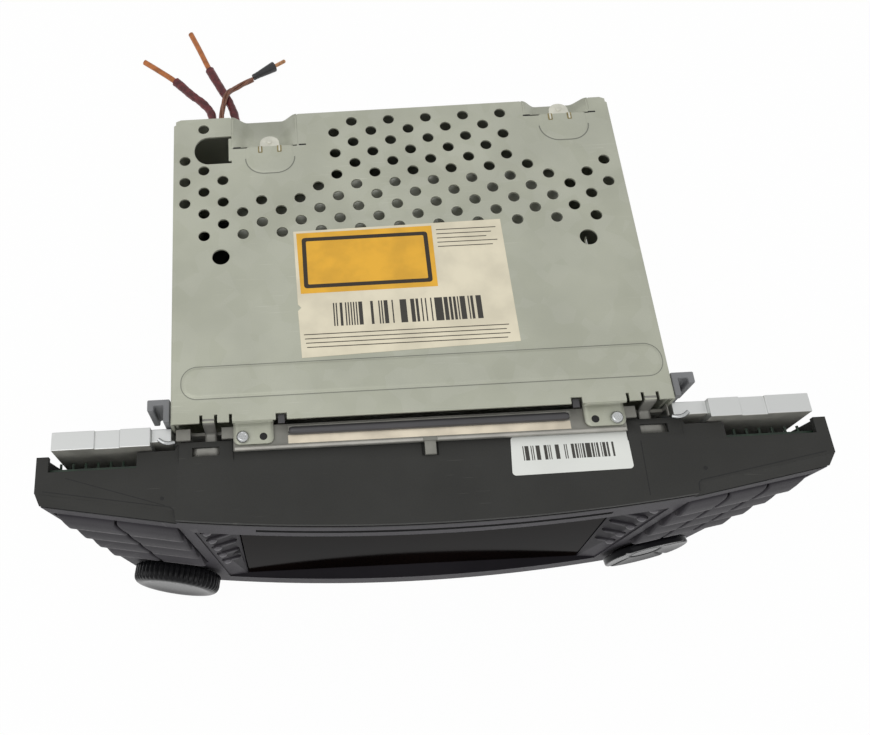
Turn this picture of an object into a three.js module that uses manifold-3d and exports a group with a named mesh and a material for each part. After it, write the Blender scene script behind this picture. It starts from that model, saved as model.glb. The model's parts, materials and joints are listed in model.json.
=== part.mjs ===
// Car navigation head unit, lying on its underside, in millimetres.
// X runs to the unit's right as its face is looked at from the front, Y to its back and Z up.
// The origin is on the underside, on the fascia's centre line, at the middle of the chassis depth.
import * as THREE from 'three';
import { mergeVertices } from 'three/addons/utils/BufferGeometryUtils.js';
import { ConvexGeometry } from 'three/addons/geometries/ConvexGeometry.js';
import Module from 'manifold-3d';

const wasm = await Module();
wasm.setup();

// Driving sizes of the chassis
const chassisWidth = 180;
const chassisDepth = 135;
const chassisHeight = 118;
const chassisShift = -2.4; // the chassis lies left of the fascia's centre line
const chassisHalf = chassisWidth / 2;
const chassisFront = -chassisDepth / 2;
const chassisBack = chassisDepth / 2;
const chassisLeft = chassisShift - chassisHalf;
const chassisRight = chassisShift + chassisHalf;
const sheet = 1; // steel sheet of the tray and the cover
const fit = 0.35; // gap round each piece that moves or drops in
const overrun = 6; // how far a cutter reaches past what it cuts
const roundSides = 24;
const smallSides = 12;

// Fascia, measured ahead of the cover's front edge and down from the cover's top
const fasciaDrop = 8;
const topHalfWidth = 142;
const sideSlant = 19.5; // the face is this much narrower each side at the bottom
const bottomHalfWidth = topHalfWidth - sideSlant;
const centreReach = 38;
const stepReach = 32.6;
const cornerReach = 24;
const stepHalfWidth = 91.5; // where the key blocks meet the middle of the face
const stepSlant = 7.5;
const stepHalfWidthLow = stepHalfWidth - stepSlant;
const cornerInset = 1.5;
const cornerHalfWidth = topHalfWidth - cornerInset;
const housingWall = 2.2;
const housingBack = 7.6; // gap from the cover's edge back to the housing's top plate
const bezelWall = 3;
const seam = 1.2; // shadow line between the housing and the bezel
const lipSetback = 3.5;
const lipDrop = 4.4;

// Vent field of the cover
const ventRadius = 2.25;
const ventLeftMargin = 4.86;
const ventRightMargin = 6.62;
const ventLeftCount = 9; // columns left and right of the one that the rows are counted from
const ventRightCount = 13;
const ventRoom = chassisWidth - ventLeftMargin - ventRightMargin;
const ventStepX = ventRoom / (ventLeftCount + ventRightCount);
const ventStepY = 5.17;
const ventStartX = chassisLeft + ventLeftMargin + ventLeftCount * ventStepX;
const ventMargin = 5.4;
const ventStartY = chassisBack - ventMargin;
const ventSides = 8;
// Each row's runs of holes, as first and last column; columns are two steps apart
const ventRows = [
  [[-8, -8], [0, 8]],
  [[-1, 7]],
  [[0, 8]],
  [[-9, -9], [-1, 7]],
  [[-8, -8], [0, 8]],
  [[-9, -7], [-1, 9], [13, 13]],
  [[-8, -8], [-2, 12]],
  [[-9, -7], [-5, 13]],
  [[-8, 12]],
  [[-7, 11]],
  [[-8, 12]],
];
const lookHoleRadius = 3.4;
const lookHoleIn = 19;
const lookHoleX = chassisHalf - lookHoleIn;
const lookHoleDown = 61.5;
const lookHoleY = ventStartY - lookHoleDown;
const windowHeight = 13.5;
const windowWidth = 14;
const windowInX = 15.7;
const windowX = chassisLeft + windowInX;
const windowInY = 16.3;
const windowY = chassisBack - windowInY;

// Cover edge, tabs, straps and pressings
const skirtDepth = 9;
const tabWidth = 14.5;
const tabIn = 19.8; // in from the chassis' side, as are the next ones
const tabOuter = chassisHalf - tabIn;
const tabInner = tabOuter - tabWidth;
const tabReach = 7.2;
const screwIn = 3.4; // in from the tab's outer edge
const screwX = tabOuter - screwIn;
const screwSpacing = 7.4;
const spareHoleX = screwX - screwSpacing;
const screwAhead = 4.6;
const strapIn = 11.3;
const strapX = chassisHalf - strapIn;
const strapWidth = 4.2;
const strapReach = 10.6;
const strapDrop = 8.8;
const strapFootWidth = 10.6;
const strapFootOut = 1.5;
const strapFootX = strapX + strapFootOut;
const strapFootLength = 3;
const setBackWidth = 4;
const setBackGap = 1.1;
const setBackOuter = tabInner - setBackGap;
const setBackInner = setBackOuter - setBackWidth;
const setBackDepth = 2.4;
const slitWidth = 1.1;
const slitDepth = 3;
const beadMargin = 3;
const beadLength = chassisWidth - 2 * beadMargin;
const beadWidth = 12.4;
const beadInY = 15.5;
const beadY = chassisFront + beadInY;
const beadShift = 1;
const beadX = chassisShift + beadShift;
const beadSides = 5;
const pressDepth = 0.5;
const troughTop = 25.5;
const troughFloor = 13.4;
const troughDrop = 6.5;
const troughLeftIn = 37.6;
const troughLeftX = chassisLeft + troughLeftIn;
const troughRightIn = 21.8;
const troughRightX = chassisRight - troughRightIn;
const troughLeftDepth = 15.6;
const troughRightDepth = 7.2;
const earWidth = 7;
const earReach = 4;
const earHoleRadius = 1.1;
const earSteps = 8;
const padWidth = 20.5;
const padDepth = 13.4;
const padCorner = 6;

// Face: strip, slot, display recess and key blocks, down from the cover's top
const stripBottom = 25.5;
const slotDrop = 18.8;
const slotWidth = 128;
const slotHeight = 2.9;
const recessRise = 11; // up from the underside
const recessMargin = 3.2;
const glassInsetTop = 19.5; // in from the key block's slanted line
const glassHalfTop = stepHalfWidth - glassInsetTop;
const glassInsetBottom = 10.5;
const glassHalfBottom = stepHalfWidthLow - glassInsetBottom;
const glassReachTop = 27.5;
const glassReachBottom = 32.5;
const glassThick = 1.6;
const keyTop = 21;
const keyRows = 4;
const keyGap = 0.8;
const keyBody = 7;
const keyChamfer = 0.9;
const keyProudLow = 2.6;
const keyTravel = 1;
const blockMargin = 1.4;
const stemRadius = 2;

// Knob, rocker and soft keys
const knobShift = 2.3; // the knob's centre lies this far in from the middle of its block
const rockerShift = 4.8;
const knobRise = 19.6;
const knobRadius = 18.8;
const knobDepth = 8;
const knobDome = 2;
const knobRibs = 36;
const knobRibDepth = 0.8;
const shaftRadius = 3;
const rockerRadius = 18.4;
const rockerDish = 1.4;
const rockerProud = 4.4;
const rockerWell = 13; // radius of the round hole behind the rocker
const softCount = 5;
const softMargin = 5;
const softTop = stripBottom + softMargin;
const softPitch = 11.6;
const softWide = 4.4;
const softNarrow = 2.2;
const softBody = 4;
const softProud = 1.1;

// Boards and modules inside
const boardThick = 1.6;
const controlReach = 11;
const mainBoardRise = 8;
const mainBoardMargin = 3;
const driveLeftIn = 23.4;
const driveLeft = chassisLeft + driveLeftIn;
const driveRightIn = 25.6;
const driveRight = chassisRight - driveRightIn;
const driveBackIn = 29.5;
const driveBack = chassisBack - driveBackIn;
const driveFrontGap = 3;
const driveTopGap = 5;
const driveHeight = 34;
const driveSlotHeight = 4;
const rollerRadius = 3;
const rollerLength = 110;
const rollerShaftRadius = 1.2;
const frameSheet = 1.2;
const frameDrop = 5.5;
const frameReach = 9.2;
const tongueWidth = 4;
const tongueReach = 4.6;
const tongueDip = 2.2;

const fasciaTop = chassisHeight - fasciaDrop;
const sides = [-1, 1];
const sideName = { '-1': 'left', 1: 'right' };

// Turns a closed three.js geometry into a solid that can be cut and joined
function solid(geometry) {
  const bare = geometry.clone();
  bare.deleteAttribute('normal');
  bare.deleteAttribute('uv');
  const merged = mergeVertices(bare);
  return new wasm.Manifold(new wasm.Mesh({
    numProp: 3,
    vertProperties: new Float32Array(merged.attributes.position.array),
    triVerts: new Uint32Array(merged.index.array),
  }));
}

// A box between two values on each axis
function block(x0, x1, y0, y1, z0, z1) {
  const geometry = new THREE.BoxGeometry(x1 - x0, y1 - y0, z1 - z0);
  geometry.translate((x0 + x1) / 2, (y0 + y1) / 2, (z0 + z1) / 2);
  return solid(geometry);
}

// The same, on one side of the centre line: x values are distances out from it
function sideBlock(side, x0, x1, ...rest) {
  return block(Math.min(side * x0, side * x1), Math.max(side * x0, side * x1), ...rest);
}

// A box centred on x and on z
function centredBlock(x, width, y0, y1, z, height) {
  return block(x - width / 2, x + width / 2, y0, y1, z - height / 2, z + height / 2);
}

function toShape(outline) {
  return new THREE.Shape(outline.map(([x, y]) => new THREE.Vector2(x, y)));
}

// An outline in X and Y, with holes, carried up from z0 to z1
function plate(outline, z0, z1, holes = []) {
  const shape = toShape(outline);
  shape.holes = holes.map((hole) => new THREE.Path(hole.map(([x, y]) => new THREE.Vector2(x, y))));
  const geometry = new THREE.ExtrudeGeometry(shape, { depth: z1 - z0, bevelEnabled: false });
  geometry.translate(0, 0, z0);
  return solid(geometry);
}

// An outline in X and Z carried back from y0 to y1
function wall(outline, y0, y1) {
  const geometry = new THREE.ExtrudeGeometry(toShape(outline), { depth: y1 - y0, bevelEnabled: false });
  geometry.rotateX(Math.PI / 2);
  geometry.translate(0, y1, 0);
  return solid(geometry);
}

// The convex body round a set of points
function hull(points) {
  return solid(new ConvexGeometry(points.map(([x, y, z]) => new THREE.Vector3(x, y, z))));
}

// A round bar along Y between two values, centred on x and z
function barY(x, z, y0, y1, radius, count = smallSides) {
  const geometry = new THREE.CylinderGeometry(radius, radius, y1 - y0, count);
  geometry.translate(x, (y0 + y1) / 2, z);
  return solid(geometry);
}

// A round bar along Z between two values, centred on x and y
function barZ(x, y, z0, z1, radius, count = smallSides) {
  const geometry = new THREE.CylinderGeometry(radius, radius, z1 - z0, count);
  geometry.rotateX(Math.PI / 2);
  geometry.translate(x, y, (z0 + z1) / 2);
  return solid(geometry);
}

// A round bar along X between two values, centred on y and z
function barX(y, z, x0, x1, radius, count = smallSides) {
  const geometry = new THREE.CylinderGeometry(radius, radius, x1 - x0, count);
  geometry.rotateZ(Math.PI / 2);
  geometry.translate((x0 + x1) / 2, y, z);
  return solid(geometry);
}

function ring(x, y, radius, count) {
  const turn = (2 * Math.PI) / count;
  return Array.from({ length: count }, (unused, k) => [
    x + radius * Math.cos(k * turn),
    y + radius * Math.sin(k * turn),
  ]);
}

// A rectangle with round corners, as an outline
function roundedBox(x0, x1, y0, y1, corner, count = 4) {
  const far = [[x1 - corner, y1 - corner], [x0 + corner, y1 - corner]];
  const near = [[x0 + corner, y0 + corner], [x1 - corner, y0 + corner]];
  const centres = [...far, ...near];
  return centres.flatMap(([cx, cy], k) => Array.from({ length: count + 1 }, (unused, m) => {
    const angle = (k + m / count) * (Math.PI / 2);
    return [cx + corner * Math.cos(angle), cy + corner * Math.sin(angle)];
  }));
}

// The same, by its centre and size
function roundedAt(x, y, width, depth, corner, count) {
  return roundedBox(x - width / 2, x + width / 2, y - depth / 2, y + depth / 2, corner, count);
}

function join(...solids) {
  return solids.reduce((sum, next) => sum.add(next));
}

function cut(body, ...cutters) {
  return cutters.reduce((rest, next) => rest.subtract(next), body);
}

function toGeometry(body) {
  const mesh = body.getMesh();
  const geometry = new THREE.BufferGeometry();
  geometry.setAttribute('position', new THREE.BufferAttribute(new Float32Array(mesh.vertProperties), 3));
  geometry.setIndex(new THREE.BufferAttribute(new Uint32Array(mesh.triVerts), 1));
  geometry.computeVertexNormals();
  return geometry;
}

const finishes = {
  galvanised: { color: 0x9aa093, roughness: 0.5, metalness: 0.7 },
  bright: { color: 0xb9b4a6, roughness: 0.3, metalness: 0.9 },
  cast: { color: 0xb4b5b2, roughness: 0.6, metalness: 0.6 },
  black: { color: 0x2b2c2b, roughness: 0.6, metalness: 0 },
  charcoal: { color: 0x45454a, roughness: 0.55, metalness: 0 },
  gloss: { color: 0x0b0c0e, roughness: 0.12, metalness: 0 },
  glass: { color: 0x120a08, roughness: 0.08, metalness: 0 },
  grey: { color: 0x77787a, roughness: 0.6, metalness: 0 },
  board: { color: 0x2c4a30, roughness: 0.5, metalness: 0 },
  heat: { color: 0x3a3b3c, roughness: 0.5, metalness: 0.7 },
  rubber: { color: 0x1d1d1f, roughness: 0.85, metalness: 0 },
  copper: { color: 0xc0682c, roughness: 0.45, metalness: 0 },
  screw: { color: 0xa3a7a9, roughness: 0.35, metalness: 0.9 },
};

const unit = new THREE.Group();

function place(name, body, finish, parent = unit) {
  const geometry = body.isBufferGeometry ? body : toGeometry(body);
  const mesh = new THREE.Mesh(geometry, new THREE.MeshStandardMaterial(finishes[finish]));
  mesh.name = name;
  parent.add(mesh);
  return mesh;
}

// How far the face stands ahead of the cover's front edge, at a distance x from the centre line
function faceReach(x) {
  const far = Math.abs(x);
  if (far <= stepHalfWidth) {
    const share = far / stepHalfWidth;
    return centreReach - (centreReach - stepReach) * share * share;
  }
  const share = (far - stepHalfWidth) / (cornerHalfWidth - stepHalfWidth);
  return stepReach + (cornerReach - stepReach) * share;
}

const ahead = (reach) => chassisFront - reach;
const faceY = (x, proud = 0) => ahead(faceReach(x) + proud);

// Half the face's width at a height above the underside
function halfWidth(z) {
  return bottomHalfWidth + (topHalfWidth - bottomHalfWidth) * (z / fasciaTop);
}

// The slanted line where a key block meets the middle of the face
function blockInner(z) {
  return stepHalfWidthLow + (stepHalfWidth - stepHalfWidthLow) * (z / fasciaTop);
}

const blockTurn = Math.atan2(stepReach - cornerReach, cornerHalfWidth - stepHalfWidth);

// Chassis tray: floor, two sides and a back wall, open at the top and the front
const plugIn = 22.4;
const plugX = chassisLeft + plugIn;
const plugZ = 30;
const plugWidth = 34;
const plugHeight = 22;
const exitWidth = 12;
const exitHeight = 13;
const antennaIn = 57.6;
const antennaX = chassisRight - antennaIn;
const antennaZ = 46;
const antennaRadius = 5.5;
const trayHeight = chassisHeight - sheet;
const trayLeft = chassisLeft + sheet + fit;
const trayRight = chassisRight - sheet - fit;
const trayFront = chassisFront + sheet;
const trayBack = chassisBack;
const sideVentLength = 60;
const sideVentHeight = 3;
const sideVentPitch = 9;
const sideVentCount = 4;
const sideVentRise = 40;

// The slanted cross-section of a trough, shrunk by inset, carried up by a lift to cut with
function troughSection(x, inset, lift = 0) {
  const halfTop = troughTop / 2 - inset;
  const halfFloor = troughFloor / 2 - inset;
  const floorZ = chassisHeight - troughDrop - sheet + inset;
  const left = [[x - halfTop, chassisHeight], [x - halfFloor, floorZ]];
  const right = [[x + halfFloor, floorZ], [x + halfTop, chassisHeight]];
  const base = [...left, ...right];
  const top = [[x + halfTop, chassisHeight + lift], [x - halfTop, chassisHeight + lift]];
  return lift > 0 ? [...base, ...top] : base;
}

const troughs = [
  { x: troughLeftX, depth: troughLeftDepth },
  { x: troughRightX, depth: troughRightDepth },
];

function buildTray() {
  const outer = block(trayLeft, trayRight, trayFront, trayBack, 0, trayHeight);
  const inner = block(
    trayLeft + sheet,
    trayRight - sheet,
    trayFront - overrun,
    trayBack - sheet,
    sheet,
    trayHeight + overrun,
  );
  const cutters = [];
  for (const side of sides) {
    for (let k = 0; k < sideVentCount; k += 1) {
      const z = sideVentRise + k * sideVentPitch;
      const x = side < 0 ? trayLeft : trayRight;
      const halfVent = sideVentLength / 2;
      cutters.push(block(x - overrun, x + overrun, -halfVent, halfVent, z, z + sideVentHeight));
    }
  }
  for (const trough of troughs) {
    cutters.push(wall(
      troughSection(trough.x, -fit, overrun),
      trayBack - sheet - overrun,
      trayBack + overrun,
    ));
  }
  const from = trayBack - sheet - overrun;
  const to = trayBack + overrun;
  cutters.push(centredBlock(plugX, plugWidth + 2 * fit, from, to, plugZ, plugHeight + 2 * fit));
  cutters.push(barY(antennaX, antennaZ, from, to, antennaRadius + fit, roundSides));
  const exitX = trayLeft + sheet;
  cutters.push(block(exitX, exitX + exitWidth, from, to, sheet, sheet + exitHeight));
  return cut(outer, inner, ...cutters);
}
place('chassis_tray', buildTray(), 'galvanised');

// Top cover: vented plate with side skirts, two bent-down troughs, tabs and snap straps
const coverFloor = chassisHeight - sheet;
const flangeTop = chassisHeight - frameDrop;
const screwHoleRadius = 1.4;
const screwHeadRadius = 2.3;
const screwHeadHeight = 1.8;
const screwLength = 5;
const socketRadius = 1;
const socketSides = 6;

function coverOutline() {
  const front = chassisFront;
  const backY = chassisBack;
  const left = [[chassisLeft, backY], [chassisLeft, front]];
  const right = [[chassisRight, front], [chassisRight, backY]];
  return [...left, ...right];
}

function ventRings() {
  const rings = [];
  ventRows.forEach((runs, row) => {
    for (const [first, last] of runs) {
      for (let column = first; column <= last; column += 2) {
        const x = ventStartX + column * ventStepX;
        const y = ventStartY - row * ventStepY;
        rings.push(ring(x, y, ventRadius, ventSides));
      }
    }
  });
  return rings;
}

// A round-ended ear that stands out over a trough
function earOutline(x, y) {
  const round = Array.from({ length: earSteps + 1 }, (unused, k) => {
    const angle = (k / earSteps) * Math.PI;
    return [x + (earWidth / 2) * Math.cos(angle), y + earReach / 2 + (earWidth / 2) * Math.sin(angle)];
  });
  return [[x + earWidth / 2, y - sheet / 2], ...round, [x - earWidth / 2, y - sheet / 2]];
}

function buildCover() {
  let cover = plate(coverOutline(), coverFloor, chassisHeight, ventRings());
  const above = chassisHeight + overrun;
  const below = coverFloor - overrun;
  const window = roundedAt(windowX, windowY, windowWidth, windowHeight, windowHeight / 3);
  cover = cover.subtract(plate(window, below, above));
  for (const side of sides) {
    const x = chassisShift + side * lookHoleX;
    cover = cover.subtract(barZ(x, lookHoleY, below, above, lookHoleRadius, 2 * smallSides));
  }
  for (const side of sides) {
    const edge = Math.abs(side < 0 ? chassisLeft : chassisRight);
    const low = chassisHeight - skirtDepth;
    cover = cover.add(sideBlock(side, edge - sheet, edge, chassisFront, chassisBack, low, coverFloor));
  }
  for (const trough of troughs) {
    const start = chassisBack - trough.depth;
    const outer = wall(troughSection(trough.x, 0), start, chassisBack);
    const inner = wall(troughSection(trough.x, sheet, overrun), start + sheet, chassisBack + overrun);
    cover = cover.add(outer).subtract(inner);
    const earY = start + sheet;
    const earHole = ring(trough.x, earY + earReach / 2, earHoleRadius, smallSides);
    cover = cover.add(plate(earOutline(trough.x, earY), coverFloor, chassisHeight, [earHole]));
    const pad = roundedAt(trough.x, start - padDepth / 2, padWidth, padDepth, padCorner);
    cover = cover.add(plate(pad, chassisHeight, chassisHeight + pressDepth));
  }
  const bead = roundedAt(beadX, beadY, beadLength, beadWidth, (beadWidth - sheet) / 2, beadSides);
  cover = cover.add(plate(bead, coverFloor, chassisHeight + pressDepth));
  for (const side of sides) {
    cover = cover.add(coverTab(side)).add(coverStrap(side));
    const slits = [
      [setBackInner, setBackOuter, setBackDepth],
      [tabOuter, tabOuter + slitWidth, slitDepth],
      [strapX - strapWidth / 2 - slitWidth, strapX - strapWidth / 2, slitDepth],
      [strapX + strapWidth / 2, strapX + strapWidth / 2 + slitWidth, slitDepth],
    ];
    for (const [inner, outer, depth] of slits) {
      const back = chassisFront + depth;
      const slit = sideBlock(
        side,
        inner,
        outer,
        chassisFront - overrun,
        back,
        coverFloor - fit,
        chassisHeight + fit,
      );
      cover = cover.subtract(slit);
    }
  }
  return cover;
}

// A tab that steps down from the cover's edge onto the front frame's flange
function coverTab(side) {
  const [x0, x1] = side < 0 ? [-tabOuter, -tabInner] : [tabInner, tabOuter];
  const riser = block(x0, x1, chassisFront - sheet, chassisFront, flangeTop, chassisHeight);
  const foot = plate(
    roundedBox(x0, x1, ahead(tabReach), chassisFront, 2 * sheet, 3),
    flangeTop,
    flangeTop + sheet,
  );
  const holes = [screwX, spareHoleX].map((x) => (
    barZ(side * x, ahead(screwAhead), flangeTop - overrun, flangeTop + overrun, screwHoleRadius)
  ));
  return cut(join(riser, foot), ...holes);
}

// A snap strap that steps down and ends in a wide foot under the housing's rear section
function coverStrap(side) {
  const strap = [strapX - strapWidth / 2, strapX + strapWidth / 2];
  const foot = [strapFootX - strapFootWidth / 2, strapFootX + strapFootWidth / 2];
  const footZ = chassisHeight - strapDrop - sheet;
  const riser = sideBlock(side, ...strap, chassisFront - sheet, chassisFront, footZ, chassisHeight);
  const run = sideBlock(side, ...strap, ahead(strapReach), chassisFront, footZ, footZ + sheet);
  const footBack = ahead(strapReach - strapFootLength);
  const pad = sideBlock(side, ...foot, ahead(strapReach), footBack, footZ, footZ + sheet);
  return join(riser, run, pad);
}
place('top_cover', buildCover(), 'galvanised');

// Cover screws with a star socket, through the tabs into the front frame
for (const side of sides) {
  const x = side * screwX;
  const y = ahead(screwAhead);
  const seat = flangeTop + sheet;
  const shank = screwHoleRadius - fit;
  const head = barZ(x, y, seat, seat + screwHeadHeight, screwHeadRadius, roundSides);
  const socket = barZ(
    x,
    y,
    seat + screwHeadHeight / 2,
    seat + screwHeadHeight + overrun,
    socketRadius,
    socketSides,
  );
  const thread = barZ(x, y, flangeTop - screwLength, seat + fit, shank);
  place(`cover_screw_${sideName[side]}`, join(head, thread).subtract(socket), 'screw');
}

// Front frame: upright sheet behind the fascia with a disc opening, and a folded top flange
const frameFront = chassisFront - frameSheet;
const driveTop = chassisHeight - sheet - driveTopGap;
const discLine = chassisHeight - slotDrop;
const frameOpeningHeight = 10;
const cableHoleWidth = 70;
const cableHoleHeight = 30;
const cableHoleMiddle = 45;
const ribHeight = 1.6;
const ribFrom = 1.2;
const ribTo = 3.4;
const flangeLip = 1.2;

// The fascia's hoods stand up beside the tabs, where the frame's flange stops short
const raisedWidth = 21;
const raisedOut = 10.8;
const raisedOuter = strapFootX + raisedOut;
const raisedInner = raisedOuter - raisedWidth;
const raisedBack = 4.6;

function buildFrame() {
  const left = trayLeft;
  const right = trayRight;
  const floorZ = fit;
  const upright = block(left, right, frameFront, chassisFront, floorZ, flangeTop);
  const from = frameFront - overrun;
  const to = chassisFront + overrun;
  const discHole = centredBlock(0, slotWidth + 2 * frameSheet, from, to, discLine, frameOpeningHeight);
  const cableHole = centredBlock(0, cableHoleWidth, from, to, cableHoleMiddle, cableHoleHeight);
  const flange = block(left, right, ahead(frameReach), chassisFront, flangeTop - frameSheet, flangeTop);
  const lipHalf = tabInner - fit;
  const lipBack = ahead(frameReach - flangeLip);
  const lip = block(
    -lipHalf,
    lipHalf,
    ahead(frameReach),
    lipBack,
    flangeTop - frameSheet,
    flangeTop + flangeLip / 2,
  );
  const rib = block(
    -setBackInner,
    setBackInner,
    ahead(ribTo),
    ahead(ribFrom),
    flangeTop - frameSheet / 2,
    flangeTop + ribHeight,
  );
  let frame = cut(upright, discHole, cableHole);
  frame = join(frame, flange, rib);
  for (const side of sides) {
    const half = strapFootWidth / 2 + fit;
    const low = chassisHeight - strapDrop - sheet - fit;
    const high = flangeTop + overrun;
    const front = ahead(frameReach) - overrun;
    const footRoom = sideBlock(
      side,
      strapFootX - half,
      strapFootX + half,
      front,
      ahead(-overrun),
      low,
      high,
    );
    const screwHole = barZ(
      side * screwX,
      ahead(screwAhead),
      flangeTop - frameSheet - overrun,
      high,
      screwHoleRadius,
    );
    const hoodRoom = sideBlock(
      side,
      raisedInner + fit,
      raisedOuter + overrun,
      front,
      ahead(raisedBack - fit),
      flangeTop - frameSheet - overrun,
      high,
    );
    frame = cut(frame, footRoom, screwHole, hoodRoom);
  }
  const tongueStart = ahead(frameReach);
  const tongueEnd = ahead(frameReach + tongueReach);
  const tongue = hull([
    [-tongueWidth / 2, tongueStart, flangeTop],
    [tongueWidth / 2, tongueStart, flangeTop],
    [-tongueWidth / 2, tongueStart, flangeTop - frameSheet],
    [tongueWidth / 2, tongueStart, flangeTop - frameSheet],
    [-tongueWidth / 2, tongueEnd, flangeTop + frameSheet - tongueDip],
    [tongueWidth / 2, tongueEnd, flangeTop + frameSheet - tongueDip],
    [-tongueWidth / 2, tongueEnd, flangeTop - tongueDip],
    [tongueWidth / 2, tongueEnd, flangeTop - tongueDip],
  ]);
  return join(frame, lip, tongue);
}
place('front_frame', buildFrame(), 'bright');

// Side arms: cast ribs behind the fascia's ears, bolted to the chassis sides
const armInset = 6.2;
const armOuter = topHalfWidth - armInset;
const armGap = 10;
const armInner = chassisHalf + armGap;
const armFront = 6.3;
const armBack = 0.8;
const armDrop = 3.6;
const armHeight = 62;
const armStep = 0.7;
const armStepIn = 24.6;
const armStepAt = armOuter - armStepIn;
const armStepWidth = 9;
const armPocketMargin = 3;
const armPocketHeight = 22;
const neckFront = 4.2;
const neckHeight = 50;
const neckDrop = 6;
const lugThick = 2.4;
const lugLength = 16;
const lugHeight = 30;
const hookHeight = 16;
const hookDrop = 1;
const lugTop = chassisHeight - hookDrop - hookHeight;
const lugBoltRadius = 2;

for (const side of sides) {
  const chassisEdge = Math.abs(side < 0 ? chassisLeft : chassisRight);
  const topZ = chassisHeight - armDrop;
  const bar = sideBlock(side, armInner, armOuter, ahead(armFront), ahead(-armBack), topZ - armHeight, topZ);
  const near = chassisEdge + fit;
  const neckTop = chassisHeight - neckDrop;
  const neckFloor = neckTop - neckHeight;
  const neckEnd = armInner + sheet;
  const neck = sideBlock(side, near, neckEnd, ahead(neckFront), ahead(-armBack), neckFloor, neckTop);
  const lugBack = ahead(-lugLength);
  const lugFloor = lugTop - lugHeight;
  const lug = sideBlock(side, near, near + lugThick, ahead(armBack), lugBack, lugFloor, lugTop);
  const bolt = barX(
    ahead(-lugLength / 2),
    lugTop - lugHeight / 2,
    side * (near + lugThick / 2) - overrun,
    side * (near + lugThick / 2) + overrun,
    lugBoltRadius,
  );
  const stepEnd = armStepAt + armStepWidth;
  const [stepFront, stepBack] = [ahead(armFront) - overrun, ahead(-armBack) + overrun];
  const step = sideBlock(side, armStepAt, stepEnd, stepFront, stepBack, topZ - armStep, topZ + overrun);
  const pocketZ = topZ - armHeight / 2;
  const pocket = sideBlock(
    side,
    armInner + armPocketMargin,
    armOuter - armPocketMargin,
    ahead(armFront - armPocketMargin),
    ahead(-armBack) + overrun,
    pocketZ - armPocketHeight,
    pocketZ + armPocketHeight / 2,
  );
  place(`side_arm_${sideName[side]}`, cut(join(bar, neck, lug), bolt, step, pocket), 'cast');
}

// Catches: grey plastic hooks on the chassis sides, just behind the arms
const hookOut = 8.6;
const hookFront = 1.4;
const hookBack = 10.4;
const hookWall = 2.4;
const hookTip = 4.4;

for (const side of sides) {
  const chassisEdge = Math.abs(side < 0 ? chassisLeft : chassisRight);
  const near = chassisEdge + fit;
  const far = chassisEdge + hookOut;
  const outline = [
    [near, ahead(-hookFront)],
    [near + hookWall, ahead(-hookFront)],
    [near + hookWall, ahead(hookWall - hookBack)],
    [far - hookWall, ahead(hookWall - hookBack)],
    [far - hookWall, ahead(hookTip - hookBack)],
    [far, ahead(hookTip - hookBack)],
    [far, ahead(-hookBack)],
    [near, ahead(-hookBack)],
  ].map(([x, y]) => [side * x, y]);
  const topZ = chassisHeight - hookDrop;
  place(`side_hook_${sideName[side]}`, plate(outline, topZ - hookHeight, topZ), 'grey');
}

// Disc drive under the cover, with its feed roller behind a slot in the front
const driveFloor = driveTop - driveHeight;
const driveFront = chassisFront + driveFrontGap;
const rollerY = driveFront + 2 * rollerRadius + sheet;
const rollerZ = discLine - driveSlotHeight / 2 - rollerRadius + sheet / 2;
const bearingDepth = 4;
const driveFootWidth = 6;
const halfShaft = rollerLength / 2 + bearingDepth;
const trayFloorTop = sheet;

function buildDrive() {
  const middle = (driveLeft + driveRight) / 2;
  const halfSlot = slotWidth / 2 - sheet;
  const outer = block(driveLeft, driveRight, driveFront, driveBack, driveFloor, driveTop);
  const inLeft = driveLeft + frameSheet;
  const inRight = driveRight - frameSheet;
  const inFloor = driveFloor + frameSheet;
  const inner = block(
    inLeft,
    inRight,
    driveFront + frameSheet,
    driveBack + overrun,
    inFloor,
    driveTop - frameSheet,
  );
  const slotLow = discLine - driveSlotHeight / 2;
  const slot = block(
    middle - halfSlot,
    middle + halfSlot,
    driveFront - overrun,
    driveBack,
    slotLow,
    slotLow + driveSlotHeight,
  );
  const intoWall = frameSheet / 2;
  const bearings = sides.map((side) => {
    const near = middle + side * (rollerLength / 2 + fit);
    const far = side < 0 ? inLeft - intoWall : inRight + intoWall;
    return block(
      Math.min(near, far),
      Math.max(near, far),
      driveFront + intoWall,
      rollerY + rollerRadius + sheet,
      driveFloor + intoWall,
      slotLow - sheet,
    );
  });
  const bore = barX(
    rollerY,
    rollerZ,
    middle - halfShaft - fit,
    middle + halfShaft + fit,
    rollerShaftRadius + fit,
  );
  const feet = [driveLeft, driveRight - driveFootWidth].map((x) => (
    block(x, x + driveFootWidth, driveFront, driveBack, trayFloorTop, driveFloor + intoWall)
  ));
  return cut(join(cut(outer, inner), ...bearings, ...feet), slot, bore);
}
place('disc_drive', buildDrive(), 'galvanised');

const driveMiddle = (driveLeft + driveRight) / 2;
place('disc_feed_roller', join(
  barX(
    rollerY,
    rollerZ,
    driveMiddle - rollerLength / 2,
    driveMiddle + rollerLength / 2,
    rollerRadius,
    2 * smallSides,
  ),
  barX(rollerY, rollerZ, driveMiddle - halfShaft, driveMiddle + halfShaft, rollerShaftRadius),
), 'rubber');

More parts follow.
